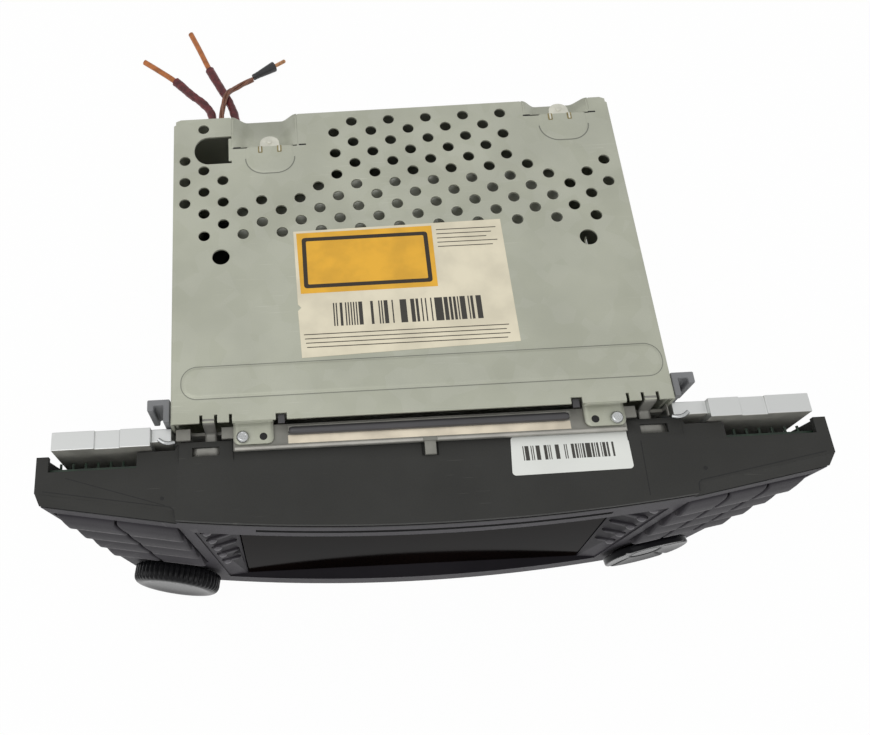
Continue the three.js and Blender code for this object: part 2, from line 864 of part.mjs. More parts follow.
// Main board on spacers, the tuner can on it and the amplifier's heat sink at the back
const spacerRadius = 2.5;
const spacerInset = 8;
const boardLeft = driveLeft + driveFootWidth + mainBoardMargin;
const boardRight = driveRight - driveFootWidth - mainBoardMargin;
const boardFront = chassisFront + mainBoardMargin;
const boardBack = chassisBack - sheet - mainBoardMargin;
const boardTop = sheet + mainBoardRise + boardThick;
const board = block(boardLeft, boardRight, boardFront, boardBack, boardTop - boardThick, boardTop);
const spacers = [boardLeft + spacerInset, boardRight - spacerInset].flatMap((x) => (
  [boardFront + spacerInset, boardBack - spacerInset].map((y) => barZ(
    x,
    y,
    trayFloorTop,
    boardTop - boardThick,
    spacerRadius,
  ))
));
place('main_board', join(board, ...spacers), 'board');

const tunerWidth = 40;
const tunerDepth = 24;
const tunerHeight = 44;
const socketProud = 9;
const socketInner = 2;
const tunerCan = block(
  antennaX - tunerWidth / 2,
  antennaX + tunerWidth / 2,
  boardBack - tunerDepth,
  boardBack,
  boardTop,
  boardTop + tunerHeight,
);
const socketEnd = trayBack + socketProud;
const aerialSocket = barY(antennaX, antennaZ, boardBack - sheet, socketEnd, antennaRadius, roundSides);
const aerialBore = barY(antennaX, antennaZ, trayBack, socketEnd + overrun, socketInner);
place('tuner_module', join(tunerCan, aerialSocket).subtract(aerialBore), 'galvanised');

const sinkIn = 7;
const sinkWidth = 56;
const sinkX = boardLeft + sinkIn + sinkWidth / 2;
const sinkBase = 4;
const sinkDepth = 20;
const sinkHeight = 52;
const finCount = 8;
const finThick = 2;

function buildSink() {
  const x0 = sinkX - sinkWidth / 2;
  const back = boardBack;
  const base = block(x0, x0 + sinkWidth, back - sinkBase, back, boardTop, boardTop + sinkHeight);
  const pitch = (sinkWidth - finThick) / (finCount - 1);
  const fins = Array.from({ length: finCount }, (unused, k) => (
    block(
      x0 + k * pitch,
      x0 + k * pitch + finThick,
      back - sinkDepth,
      back - sinkBase / 2,
      boardTop,
      boardTop + sinkHeight,
    )
  ));
  return join(base, ...fins);
}
place('heat_sink', buildSink(), 'heat');

// Rear connectors: the harness header and the plug in it
const headerWall = 2;
const headerDepth = 14;
const headerProud = 3;

function buildHeader() {
  const halfW = plugWidth / 2;
  const halfH = plugHeight / 2;
  const body = block(
    plugX - halfW,
    plugX + halfW,
    trayBack - headerDepth,
    trayBack + headerProud,
    plugZ - halfH,
    plugZ + halfH,
  );
  const hollow = block(
    plugX - halfW + headerWall,
    plugX + halfW - headerWall,
    trayBack - headerDepth + headerWall,
    trayBack + headerProud + overrun,
    plugZ - halfH + headerWall,
    plugZ + halfH - headerWall,
  );
  const flange = block(
    plugX - halfW - headerWall,
    plugX + halfW + headerWall,
    trayBack - sheet - fit - headerWall,
    trayBack - sheet - fit,
    plugZ - halfH,
    plugZ + halfH,
  );
  return join(body, flange).subtract(hollow);
}
place('harness_header', buildHeader(), 'black');

const plugProud = 6;
place('harness_plug', centredBlock(
  plugX,
  plugWidth - 2 * (headerWall + fit),
  trayBack - headerDepth + headerWall + fit,
  trayBack + headerProud + plugProud,
  plugZ,
  plugHeight - 2 * (headerWall + fit),
), 'grey');

// Cut supply leads that leave the plug, sink to the surface and lie on it
const wireRadius = 1.6;
const twistRadius = 1.7;
const wireSides = 8;
const wireSteps = 34;
const wireExitY = trayBack + headerProud + plugProud + fit;
const leftRoute = [
  [-79, wireExitY, 30], [-79, 84, 29.6], [-80, 93, 26.5], [-82, 102, 19], [-84.5, 112, 10.5],
  [-86.5, 121.8, 4.6], [-87.5, 132.6, 1.9], [-87.8, 143.3, 1.7], [-88.3, 155.1, 1.7], [-89.6, 167.3, 1.7],
  [-94.3, 174.8, 1.7], [-100.8, 181.3, 1.7], [-110.2, 191.9, 1.7], [-121.1, 201.6, 1.7], [-129, 208.2, 1.7],
];
const rightRoute = [
  [-70, wireExitY, 30], [-70, 84, 29.6], [-70.3, 93, 26.5], [-71, 102, 19], [-72.3, 112, 10.5],
  [-73.2, 121.8, 4.6], [-73.6, 132.6, 1.9], [-73.8, 143.3, 1.7], [-74.5, 155.1, 1.7], [-76.5, 167.1, 1.7],
  [-79.5, 175.8, 1.7], [-83.1, 183.7, 1.7], [-90.1, 199.2, 1.7], [-95.9, 214.4, 1.7], [-101.4, 228.1, 1.7],
];
const twistRoute = [
  [-74.5, wireExitY, 34.5], [-74.5, 84, 34.2], [-75.6, 94, 31.4], [-77.4, 104, 24.5], [-79.5, 115, 15],
  [-81.2, 125.8, 7.2], [-82.7, 136.5, 2.8], [-83.6, 146.3, 1.9], [-83.7, 156.1, 1.9], [-83.1, 166.1, 2.6],
  [-81.3, 173.7, 5.3], [-78, 179.8, 5.2], [-73.4, 184.8, 2.6], [-68.9, 188.1, 1.9], [-64.7, 190.6, 1.9],
];

function lead(points, radius) {
  const curve = new THREE.CatmullRomCurve3(
    points.map(([x, y, z]) => new THREE.Vector3(x, y, z)),
    false,
    'centripetal',
  );
  const section = toShape(ring(0, 0, radius, wireSides));
  return new THREE.ExtrudeGeometry(section, { steps: wireSteps, extrudePath: curve, bevelEnabled: false });
}

place('lead_left', lead(leftRoute, wireRadius), 'copper');
place('lead_right', lead(rightRoute, wireRadius), 'copper');
place('lead_twisted', lead(twistRoute, twistRadius), 'copper');

const capLength = 15;
const capWide = 3;
const capNarrow = 1.8;
const tipLength = 7.6;
const tipRadius = 1.1;
const [twistBefore, twistEnd] = twistRoute.slice(-2);
const capTurn = Math.atan2(twistEnd[1] - twistBefore[1], twistEnd[0] - twistBefore[0]);
const capProfile = [
  [0, fit],
  [capNarrow, fit],
  [capWide, capLength],
  [tipRadius, capLength],
  [tipRadius, capLength + tipLength],
  [0, capLength + tipLength],
];
const capGeometry = new THREE.LatheGeometry(capProfile.map(([r, h]) => new THREE.Vector2(r, h)), wireSides);
capGeometry.rotateZ(-Math.PI / 2);
capGeometry.rotateZ(capTurn);
capGeometry.translate(twistEnd[0], twistEnd[1], capWide);
place('lead_cap', solid(capGeometry), 'rubber');

// Fascia housing: top plate over a ring of walls, with a lip above each key block
const raisedHeight = 0.8;
const earBack = 7;
const notchGap = 5.6;
const notchInner = armInner + notchGap;
const notchInset = 4.4;
const notchOuter = topHalfWidth - notchInset;
const notchReach = 12.8;
const strapWindowWidth = 9.8;
const strapWindowOut = 5.2;
const strapWindowOuter = strapFootX + strapWindowOut;
const strapWindowInner = strapWindowOuter - strapWindowWidth;
const strapWindowNear = 6.6;
const strapWindowFar = 10;
const faceSteps = 12;
const recessAhead = 6.2;
const recessCut = 0.8;

// Points of the face's curve from the step on the right to the centre line, set back by an amount
function centreCurve(back) {
  return Array.from({ length: faceSteps }, (unused, k) => {
    const x = stepHalfWidth * (1 - k / faceSteps);
    return [x, ahead(faceReach(x) - back)];
  });
}

function fullCurve(back) {
  const half = [[topHalfWidth + fit, ahead(faceReach(topHalfWidth) - back)], ...centreCurve(back)];
  const other = half.map(([x, y]) => [-x, y]).reverse();
  return [...half, [0, ahead(centreReach - back)], ...other];
}

const trapezoid = (shrink, z0, z1) => wall([
  [-halfWidth(z0) + shrink, z0],
  [halfWidth(z0) - shrink, z0],
  [halfWidth(z1) - shrink, z1],
  [-halfWidth(z1) + shrink, z1],
], ahead(centreReach + overrun), ahead(-overrun));

function topPlateOutline() {
  const right = [
    [raisedInner, ahead(housingBack)],
    [raisedInner + raisedHeight, ahead(raisedBack)],
    [raisedOuter, ahead(raisedBack)],
    [raisedOuter + raisedHeight, ahead(earBack)],
    [notchInner, ahead(earBack)],
    [notchInner, ahead(notchReach)],
    [notchOuter, ahead(notchReach)],
    [notchOuter, ahead(earBack)],
    [topHalfWidth, ahead(earBack)],
    [topHalfWidth, ahead(faceReach(topHalfWidth) - lipSetback)],
    [stepHalfWidth + fit, ahead(stepReach - lipSetback)],
    ...centreCurve(0),
  ];
  const left = right.map(([x, y]) => [-x, y]).reverse();
  return [...right, [0, ahead(centreReach)], ...left];
}

function buildHousing() {
  const plateFloor = fasciaTop - housingWall;
  let housing = plate(topPlateOutline(), plateFloor, fasciaTop);
  const bodyOutline = (back, forward) => [
    [topHalfWidth + overrun, ahead(back)],
    ...fullCurve(bezelWall + fit - forward),
    [-topHalfWidth - overrun, ahead(back)],
  ];
  const outer = plate(bodyOutline(earBack, 0), 0, fasciaTop).intersect(trapezoid(0, 0, fasciaTop));
  const inner = plate(
    bodyOutline(-overrun, overrun),
    housingWall,
    plateFloor,
  ).intersect(trapezoid(housingWall, 0, fasciaTop));
  const floorSpan = (trayRight - trayLeft) / 2 - overrun;
  const floorRun = block(
    -floorSpan,
    floorSpan,
    ahead(earBack + overrun),
    ahead(frameSheet + fit),
    0,
    housingWall,
  );
  housing = join(housing, outer.subtract(inner), floorRun);
  for (const side of sides) {
    const lipPoints = [stepHalfWidth + fit, topHalfWidth].flatMap((x) => {
      const reach = faceReach(x);
      return [
        [side * x, ahead(reach - lipSetback), fasciaTop],
        [side * x, ahead(reach - lipSetback - bezelWall), fasciaTop],
        [side * x, ahead(reach), fasciaTop - lipDrop],
        [side * x, ahead(reach - bezelWall), fasciaTop - lipDrop],
      ];
    });
    housing = housing.add(hull(lipPoints).intersect(trapezoid(0, 0, fasciaTop)));
    const [x0, x1] = side < 0 ? [-raisedOuter, -raisedInner] : [raisedInner, raisedOuter];
    const hood = hull([
      [x0, ahead(raisedBack), fasciaTop - housingWall],
      [x1, ahead(raisedBack), fasciaTop - housingWall],
      [x0 + raisedHeight, ahead(raisedBack), fasciaTop + raisedHeight],
      [x1 - raisedHeight, ahead(raisedBack), fasciaTop + raisedHeight],
      [x0 + raisedHeight, ahead(strapReach), fasciaTop + raisedHeight],
      [x1 - raisedHeight, ahead(strapReach), fasciaTop + raisedHeight],
      [x0, ahead(strapReach + 2 * housingWall), fasciaTop - housingWall / 2],
      [x1, ahead(strapReach + 2 * housingWall), fasciaTop - housingWall / 2],
    ]);
    const halfFoot = strapFootWidth / 2 + fit;
    const pocket = sideBlock(
      side,
      strapFootX - halfFoot,
      strapFootX + halfFoot,
      ahead(strapReach + fit),
      ahead(0),
      fasciaTop - housingWall - overrun,
      chassisHeight - strapDrop + fit,
    );
    const window = sideBlock(
      side,
      strapWindowInner,
      strapWindowOuter,
      ahead(strapWindowFar),
      ahead(strapWindowNear),
      fasciaTop - housingWall,
      fasciaTop + overrun,
    );
    const notch = sideBlock(
      side,
      notchInner,
      notchOuter,
      ahead(notchReach),
      ahead(earBack) + overrun,
      fasciaTop - housingWall - overrun,
      fasciaTop + overrun,
    );
    housing = cut(housing.add(hood), pocket, window, notch);
  }
  const tongueRoom = block(
    -tongueWidth / 2 - sheet,
    tongueWidth / 2 + sheet,
    ahead(housingBack + recessAhead),
    ahead(housingBack) + overrun,
    fasciaTop - recessCut,
    fasciaTop + overrun,
  );
  return housing.subtract(tongueRoom);
}
place('fascia_housing', buildHousing(), 'black');

// Front bezel: a curved band with the disc slot, the display recess and the key openings
const centreTop = fasciaTop - housingWall - seam;
const blockTop = fasciaTop - lipDrop - seam;
const recessLow = recessRise;
const recessHigh = chassisHeight - stripBottom;
const recessPlate = 1.5;
const roofReach = 25.2;
const floorReach = 30.6;
const roofInset = 1.1;
const recessRoof = blockInner(recessHigh) - recessMargin - roofInset;
const recessFloor = blockInner(recessLow) - recessMargin + fit;
const cheekThick = 3;
const cheekFront = 0.6;
const knobZ = knobRise;
const knobBlockMiddle = (blockInner(knobZ) + halfWidth(knobZ)) / 2;
const knobX = knobBlockMiddle - knobShift;
const rockerX = knobBlockMiddle - rockerShift;
const keyKnobGap = 1.8;
const keysHigh = chassisHeight - keyTop;
const keysLow = knobZ + knobRadius + keyKnobGap;
const keyPitch = (keysHigh - keysLow + keyGap) / keyRows;

const shareDown = (z) => (recessHigh - z) / (recessHigh - recessLow);
const glassHalf = (z) => glassHalfTop + (glassHalfBottom - glassHalfTop) * shareDown(z);
const glassReach = (z) => glassReachTop + (glassReachBottom - glassReachTop) * shareDown(z);
const cheekOuter = (z) => blockInner(z) - recessMargin;

// Carries a body from a frame with X along the panel, Y up and Z out of the panel to its place
function onPanel(body, side, x, z, reach = faceReach(x)) {
  const turn = side * THREE.MathUtils.radToDeg(blockTurn);
  return body.rotate([90, 0, 0]).rotate([0, 0, turn]).translate([side * x, ahead(reach), z]);
}

// A turned body about the panel's outward line: pairs of a radius and a height above the panel
function turned(pairs, count = roundSides) {
  const geometry = new THREE.LatheGeometry(pairs.map(([r, h]) => new THREE.Vector2(r, h)), count);
  geometry.rotateX(Math.PI / 2);
  return solid(geometry);
}

// A round bar along the panel's outward line between two heights
const pin = (h0, h1, radius, count = smallSides) => turned(
  [[0, h0], [radius, h0], [radius, h1], [0, h1]],
  count,
);

// Line of one soft key's cheek at a height: its two ends, length and outward direction
function cheekLine(z) {
  const inner = [glassHalf(z), ahead(glassReach(z))];
  const outer = [cheekOuter(z), ahead(faceReach(cheekOuter(z)) - cheekFront)];
  const run = [outer[0] - inner[0], outer[1] - inner[1]];
  const length = Math.hypot(...run);
  return { inner, outer, length, turn: Math.atan2(run[1], run[0]) };
}

function cheek(side) {
  const points = [recessLow - recessPlate, recessHigh + recessPlate].flatMap((z) => {
    const { inner, outer } = cheekLine(Math.min(Math.max(z, recessLow), recessHigh));
    const near = [inner, outer];
    const far = near.map(([x, y]) => [x, y + cheekThick]);
    return [...near, ...far].map(([x, y]) => [side * x, y, z]);
  });
  return hull(points);
}

const softSides = 6;
const softEnd = 1.5;
const softRows = Array.from({ length: softCount }, (unused, k) => chassisHeight - softTop - k * softPitch);

// The outline of a soft key: wide and round outside, narrow towards the display
function softOutline(length, grow) {
  const wide = softWide / 2;
  const narrow = softNarrow / 2;
  const arc = (cx, radius, from, count) => Array.from({ length: count + 1 }, (unused, k) => {
    const angle = from + (k / count) * Math.PI;
    return [cx + (radius + grow) * Math.cos(angle), (radius + grow) * Math.sin(angle)];
  });
  const outer = arc(length / 2 - wide, wide, -Math.PI / 2, softSides);
  const inner = arc(narrow - length / 2, narrow, Math.PI / 2, softSides / 2);
  return [...outer, ...inner];
}

// One soft key's body in its place on the cheek, or the hole that it slides in
function softBodyAt(side, z, grow, h0, h1) {
  const { inner, outer, length, turn } = cheekLine(z);
  const body = plate(softOutline(length - 2 * softEnd, grow), h0, h1);
  const upright = body.rotate([90, 0, 0]);
  const aimed = upright.rotate([0, 0, THREE.MathUtils.radToDeg(turn)]);
  const placed = aimed.translate([(inner[0] + outer[0]) / 2, (inner[1] + outer[1]) / 2, z]);
  return side < 0 ? placed.mirror([1, 0, 0]) : placed;
}

function keyOpening(side) {
  const line = (z) => [[side * (blockInner(z) + blockMargin), z], [side * (halfWidth(z) - blockMargin), z]];
  const [a, b] = line(keysHigh + keyGap);
  const [d, c] = line(keysLow - keyGap);
  return wall([a, b, c, d], ahead(centreReach + overrun), ahead(cornerReach - bezelWall - overrun));
}

function buildBezel() {
  const band = plate([...fullCurve(0), ...fullCurve(bezelWall).reverse()], 0, centreTop);
  let bezel = band.intersect(trapezoid(0, 0, fasciaTop));
  for (const side of sides) {
    const far = topHalfWidth + overrun;
    const above = centreTop + overrun;
    bezel = bezel.subtract(
      sideBlock(side, stepHalfWidth, far, ahead(centreReach), ahead(0), blockTop, above),
    );
  }
  const recess = wall([
    [-cheekOuter(recessLow), recessLow],
    [cheekOuter(recessLow), recessLow],
    [cheekOuter(recessHigh), recessHigh],
    [-cheekOuter(recessHigh), recessHigh],
  ], ahead(centreReach + overrun), ahead(0));
  const inFace = centreReach - bezelWall + sheet;
  const behindFace = plate(
    [...fullCurve(sheet), [-topHalfWidth, ahead(0)], [topHalfWidth, ahead(0)]],
    0,
    fasciaTop,
  );
  const roof = block(
    -recessRoof,
    recessRoof,
    ahead(inFace),
    ahead(roofReach),
    recessHigh,
    recessHigh + recessPlate,
  );
  const floor = block(
    -recessFloor,
    recessFloor,
    ahead(inFace),
    ahead(floorReach),
    recessLow - recessPlate,
    recessLow,
  );
  bezel = join(bezel.subtract(recess), roof.intersect(behindFace), floor.intersect(behindFace));
  const half = slotWidth / 2;
  const slotLow = discLine - slotHeight / 2;
  const slot = block(-half, half, ahead(centreReach + overrun), ahead(0), slotLow, slotLow + slotHeight);
  bezel = cut(bezel, slot);
  for (const side of sides) {
    bezel = bezel.add(cheek(side)).subtract(keyOpening(side));
    for (const z of softRows) {
      bezel = bezel.subtract(softBodyAt(side, z, fit, -overrun, overrun));
    }
  }
  const shaftHole = onPanel(pin(-overrun, overrun, shaftRadius + fit), -1, knobX, knobZ);
  const rockerHole = onPanel(
    pin(-overrun, overrun, rockerWell, 2 * roundSides),
    1,
    rockerX,
    knobZ,
  );
  return cut(bezel, shaftHole, rockerHole);
}
place('front_bezel', buildBezel(), 'charcoal');

// Display: a slanted window in the recess with the lit module just behind it
const windowLow = recessLow + fit;
const windowHigh = recessHigh - fit;
const moduleBack = 17;
const moduleMargin = 3;

function slantedSlab(low, high, inset, front, back) {
  return hull([low, high].flatMap((z) => sides.flatMap((side) => [
    [side * (glassHalf(z) - inset), ahead(front(z)), z],
    [side * (glassHalf(z) - inset), ahead(back(z)), z],
  ])));
}
const windowBack = (z) => glassReach(z) - glassThick;
place('display_window', slantedSlab(windowLow, windowHigh, fit, glassReach, windowBack), 'glass');
const moduleFront = (z) => windowBack(z) - fit;
const moduleSolid = slantedSlab(
  windowLow,
  windowHigh - moduleMargin,
  moduleMargin,
  moduleFront,
  () => moduleBack,
);
place('display_module', moduleSolid, 'black');

// Control board behind the face, with the knob's encoder body and the rocker's post on it
const boardFrontReach = controlReach + boardThick;
const boardLow = housingWall + fit;
const boardHigh = fasciaTop - housingWall - sheet;
const boardMiddleDrop = 20;
const boardMiddleHigh = chassisHeight - boardMiddleDrop;
const boardShoulder = 100;
const encoderSize = 14;
const encoderFront = -9;
const encoderBoreDepth = 6;
const rockerPivot = -7.7;
const rockerBack = 1.5;
const earGap = 3.5;
const earThick = 2;
const earHalf = 2;
const crossRadius = 1.2;
const crossHalf = 5.4;
const pinRadius = 0.5;
const pinLength = 3;
const pinCount = 6;
const pinMargin = 3;
const pinFrom = notchInner + 2 * pinMargin;
const pinTo = notchOuter - pinMargin;

function buildControlBoard() {
  const edge = (z) => halfWidth(z) - housingWall - fit;
  const half = [
    [edge(boardLow), boardLow],
    [edge(boardHigh), boardHigh],
    [boardShoulder, boardHigh],
    [boardShoulder, boardMiddleHigh],
  ];
  const outline = [...half, ...half.map(([x, z]) => [-x, z]).reverse()];
  const board = wall(outline, ahead(boardFrontReach), ahead(controlReach));
  const boardAhead = block(
    -topHalfWidth,
    topHalfWidth,
    ahead(centreReach),
    ahead(boardFrontReach - boardThick / 2),
    0,
    fasciaTop,
  );
  const deep = faceReach(knobX);
  const encoder = block(
    -encoderSize / 2,
    encoderSize / 2,
    -encoderSize / 2,
    encoderSize / 2,
    -deep,
    encoderFront,
  );
  const bore = pin(encoderFront - encoderBoreDepth, encoderFront + overrun, shaftRadius + fit);
  const encoderBody = onPanel(encoder.subtract(bore), -1, knobX, knobZ).intersect(boardAhead);
  const pins = sides.flatMap((side) => Array.from({ length: pinCount }, (unused, k) => {
    const x = pinFrom + (pinTo - pinFrom) * (k / (pinCount - 1));
    return barY(
      side * x,
      boardHigh - pinLength,
      ahead(controlReach + sheet),
      ahead(controlReach - pinLength),
      pinRadius,
      socketSides,
    );
  }));
  return join(board, encoderBody, ...pins);
}
place('control_board', buildControlBoard(), 'board');

// Post of the rocker's switch: a block on the board with two ears that carry the gimbal
function buildRockerPost() {
  const size = earGap + earThick;
  const seat = rockerPivot - earHalf - sheet;
  const post = block(-size, size, -size, size, -faceReach(rockerX), seat);
  const ears = sides.map((side) => (
    sideBlock(side, earGap, size, -earHalf, earHalf, seat - fit, rockerPivot + earHalf)
  ));
  const crossBore = barX(0, rockerPivot, -overrun - size, overrun + size, crossRadius + fit);
  const aheadOfBoard = block(
    -topHalfWidth,
    topHalfWidth,
    ahead(centreReach),
    ahead(boardFrontReach),
    0,
    fasciaTop,
  );
  return onPanel(join(post, ...ears).subtract(crossBore), 1, rockerX, knobZ).intersect(aheadOfBoard);
}
place('rocker_post', buildRockerPost(), 'black');

// Knob on its shaft: the shaft pushes in, and the knob turns round it
const shaftTop = 7;
const pushClearance = 1.2;
const shaftBottom = encoderFront - encoderBoreDepth + pushClearance;
const knobSeat = 1.2;
const knobBoreTop = 7.4;
place('knob_shaft', onPanel(pin(shaftBottom, shaftTop, shaftRadius), -1, knobX, knobZ), 'screw');

function buildKnob() {
  const high = knobSeat + knobDepth;
  const outline = Array.from({ length: 2 * knobRibs }, (unused, k) => {
    const angle = (k / knobRibs) * Math.PI;
    const radius = k % 2 === 0 ? knobRadius : knobRadius - knobRibDepth;
    return [radius * Math.cos(angle), radius * Math.sin(angle)];
  });
  const ribbed = plate(outline, knobSeat, high + overrun);
  const envelope = turned([
    [0, knobSeat - sheet],
    [knobRadius + sheet, knobSeat - sheet],
    [knobRadius + sheet, high - knobDome],
    [knobRadius - knobDome / 2, high - knobDome / 3],
    [knobRadius - knobDome, high],
    [0, high],
  ]);
  return ribbed.intersect(envelope).subtract(pin(knobSeat - overrun, knobBoreTop, shaftRadius + fit));
}
place('volume_knob', onPanel(buildKnob(), -1, knobX, knobZ), 'black');

// Rocker: a four-lobed dish on a small gimbal, so that it tilts up, down, left and right
const rockerLobeShare = 0.045;
const dishShare = 0.86;
const rockerSteps = 40;
const rockerRings = 4;

function buildRocker() {
  const outline = Array.from({ length: rockerSteps }, (unused, k) => {
    const angle = (k / rockerSteps) * 2 * Math.PI;
    const radius = rockerRadius * (1 - rockerLobeShare * (1 + Math.cos(4 * angle)) / 2);
    return [radius * Math.cos(angle), radius * Math.sin(angle)];
  });
  const profile = Array.from({ length: rockerRings + 1 }, (unused, k) => {
    const share = k / rockerRings;
    return [rockerRadius * share * dishShare, rockerProud - rockerDish * (1 - share * share)];
  });
  const dish = turned([
    [0, rockerBack],
    [rockerRadius + sheet, rockerBack],
    [rockerRadius + sheet, rockerProud - sheet],
    ...profile.reverse(),
  ]);
  const disc = plate(outline, rockerBack - sheet, rockerProud + sheet).intersect(dish);
  const reach = earGap + earThick;
  const ears = sides.map((side) => {
    const v0 = Math.min(side * earGap, side * reach);
    return block(-earHalf, earHalf, v0, v0 + earThick, rockerPivot - earHalf, rockerBack + fit);
  });
  const bore = barY(
    0,
    0,
    -overrun - reach,
    overrun + reach,
    crossRadius + fit,
  ).translate([0, 0, rockerPivot]);
  return join(disc, ...ears.map((ear) => ear.subtract(bore)));
}
const gimbal = join(
  barX(0, rockerPivot, -crossHalf, crossHalf, crossRadius),
  barY(0, rockerPivot, -crossHalf, crossHalf, crossRadius),
);
place('rocker_gimbal', onPanel(gimbal, 1, rockerX, knobZ), 'screw');
place('cursor_rocker', onPanel(buildRocker(), 1, rockerX, knobZ), 'gloss');

// Keys of the two blocks: curved caps with a guide stem behind each
const keyShares = [[0, 0.08], [0.12, 0.35], [0.5, 0.77], [0.85, 1], [1, 0.62]];
const keyNames = {
  '-1': ['function_key', 2],
  1: ['number_key', 3],
};
const stemEnd = boardFrontReach + keyTravel + fit;

function buildKey(side, column, columns, row) {
  const high = keysHigh - row * keyPitch;
  const low = high - keyPitch + keyGap;
  const edge = (z, share) => {
    const inner = blockInner(z) + blockMargin + keyGap;
    const outer = halfWidth(z) - blockMargin - keyGap;
    return inner + (outer - inner) * share;
  };
  const gapShare = keyGap / (2 * (halfWidth(low) - blockInner(low)));
  const inShare = column / columns + (column > 0 ? gapShare : 0);
  const outShare = (column + 1) / columns - (column < columns - 1 ? gapShare : 0);
  const points = [];
  for (const [downShare, proudShare] of keyShares) {
    const z = high + (low - high) * downShare;
    const proud = keyProudLow * proudShare;
    const x0 = edge(z, inShare);
    const x1 = edge(z, outShare);
    points.push(
      [side * x0, faceY(x0, proud - keyChamfer), z],
      [side * x1, faceY(x1, proud - keyChamfer), z],
    );
    points.push([side * (x0 + keyChamfer), faceY(x0 + keyChamfer, proud), z]);
    points.push([side * (x1 - keyChamfer), faceY(x1 - keyChamfer, proud), z]);
  }
  for (const z of [high, low]) {
    for (const share of [inShare, outShare]) {
      const x = edge(z, share);
      points.push([side * x, faceY(x, -keyBody), z]);
    }
  }
  const middleZ = (high + low) / 2;
  const middleX = (edge(middleZ, inShare) + edge(middleZ, outShare)) / 2;
  const stem = barY(
    side * middleX,
    middleZ,
    faceY(middleX, sheet - keyBody),
    ahead(stemEnd),
    stemRadius,
    socketSides,
  );
  return join(hull(points), stem);
}

for (const side of sides) {
  const [name, columns] = keyNames[side];
  for (let row = 0; row < keyRows; row += 1) {
    for (let column = 0; column < columns; column += 1) {
      // Counted from the left, as the face is read
      const fromLeft = side < 0 ? columns - column : column + 1;
      const number = row * columns + fromLeft;
      place(`${name}_${number}`, buildKey(side, column, columns, row), 'charcoal');
    }
  }
}

for (const side of sides) {
  softRows.forEach((z, k) => {
    const body = softBodyAt(side, z, 0, softProud - softBody, softProud);
    place(`soft_key_${sideName[side]}_${k + 1}`, body, 'charcoal');
  });
}

export default unit;
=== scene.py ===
"""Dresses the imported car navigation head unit: leads, sheet metal, fascia, keys, finishes, floor and light.

Sizes are in millimetres in the row frame, with X to the unit's right, Y to its back and Z up, and become
metres when a shape is put into a mesh.
"""

import json
import logging
import math
from collections.abc import Callable, Sequence
from dataclasses import dataclass, field
from enum import Enum
from typing import Any

import bmesh
import bpy
import numpy as np
from mathutils import Matrix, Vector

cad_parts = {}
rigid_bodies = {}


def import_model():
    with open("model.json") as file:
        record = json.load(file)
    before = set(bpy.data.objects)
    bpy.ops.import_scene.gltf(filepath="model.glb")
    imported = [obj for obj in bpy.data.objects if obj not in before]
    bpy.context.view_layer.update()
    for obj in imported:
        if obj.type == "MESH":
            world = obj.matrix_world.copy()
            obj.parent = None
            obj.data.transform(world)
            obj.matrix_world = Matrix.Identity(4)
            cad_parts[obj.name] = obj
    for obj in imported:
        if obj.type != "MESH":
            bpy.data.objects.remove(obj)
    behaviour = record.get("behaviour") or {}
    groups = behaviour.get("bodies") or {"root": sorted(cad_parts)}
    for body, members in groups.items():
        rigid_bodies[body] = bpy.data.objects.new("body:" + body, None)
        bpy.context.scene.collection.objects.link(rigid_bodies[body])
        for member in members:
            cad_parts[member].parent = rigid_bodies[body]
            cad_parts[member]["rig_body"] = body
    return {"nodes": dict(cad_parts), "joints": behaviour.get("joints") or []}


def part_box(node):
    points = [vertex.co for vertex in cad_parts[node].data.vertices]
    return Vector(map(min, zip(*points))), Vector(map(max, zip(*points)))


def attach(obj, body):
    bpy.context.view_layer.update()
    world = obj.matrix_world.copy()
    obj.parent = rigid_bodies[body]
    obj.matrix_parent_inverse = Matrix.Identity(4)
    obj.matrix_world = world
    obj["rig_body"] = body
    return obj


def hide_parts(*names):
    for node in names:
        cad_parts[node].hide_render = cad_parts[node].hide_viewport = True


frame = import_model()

MM = 0.001
UP = (0.0, 0.0, 1.0)
CHASSIS_FRONT = -67.5
PLASTIC_IOR = 1.5
MERGE_DISTANCE = 0.002
LOG = logging.getLogger("head_unit")
Array = np.ndarray
Tree = bpy.types.NodeTree
Socket = bpy.types.NodeSocket
Piece = bpy.types.Object
Span = tuple[float, float]


class Side(Enum):
    """Left or right of the fascia's centre line, as a sign for X."""

    LEFT = -1
    RIGHT = 1

    @property
    def word(self) -> str:
        """The side as it stands in a piece's name."""
        return self.name.lower()


def node_box(node: str) -> tuple[Array, Array]:
    """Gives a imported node's lowest and highest corner in millimetres."""
    low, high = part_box(node)
    return np.array(low) / MM, np.array(high) / MM


def joint_place(name: str) -> tuple[Array, Array]:
    """Gives a joint's point in millimetres and its unit axis."""
    joint = next(j for j in frame["joints"] if j["name"] == name)
    return np.array(joint["pos_m"]) / MM, np.array(joint["axis"], float)


# Colours and shader nodes


def srgb(code: str) -> tuple[float, float, float, float]:
    """Turns an sRGB hex colour into linear red, green and blue, and an alpha of one."""
    shares = [int(code[k : k + 2], 16) / 255 for k in (1, 3, 5)]
    linear = [s / 12.92 if s <= 0.04045 else ((s + 0.055) / 1.055) ** 2.4 for s in shares]
    return (*linear, 1.0)


def per_metre(size: float) -> float:
    """Scale of a pattern whose grains are this many millimetres across."""
    return 1 / (size * MM)


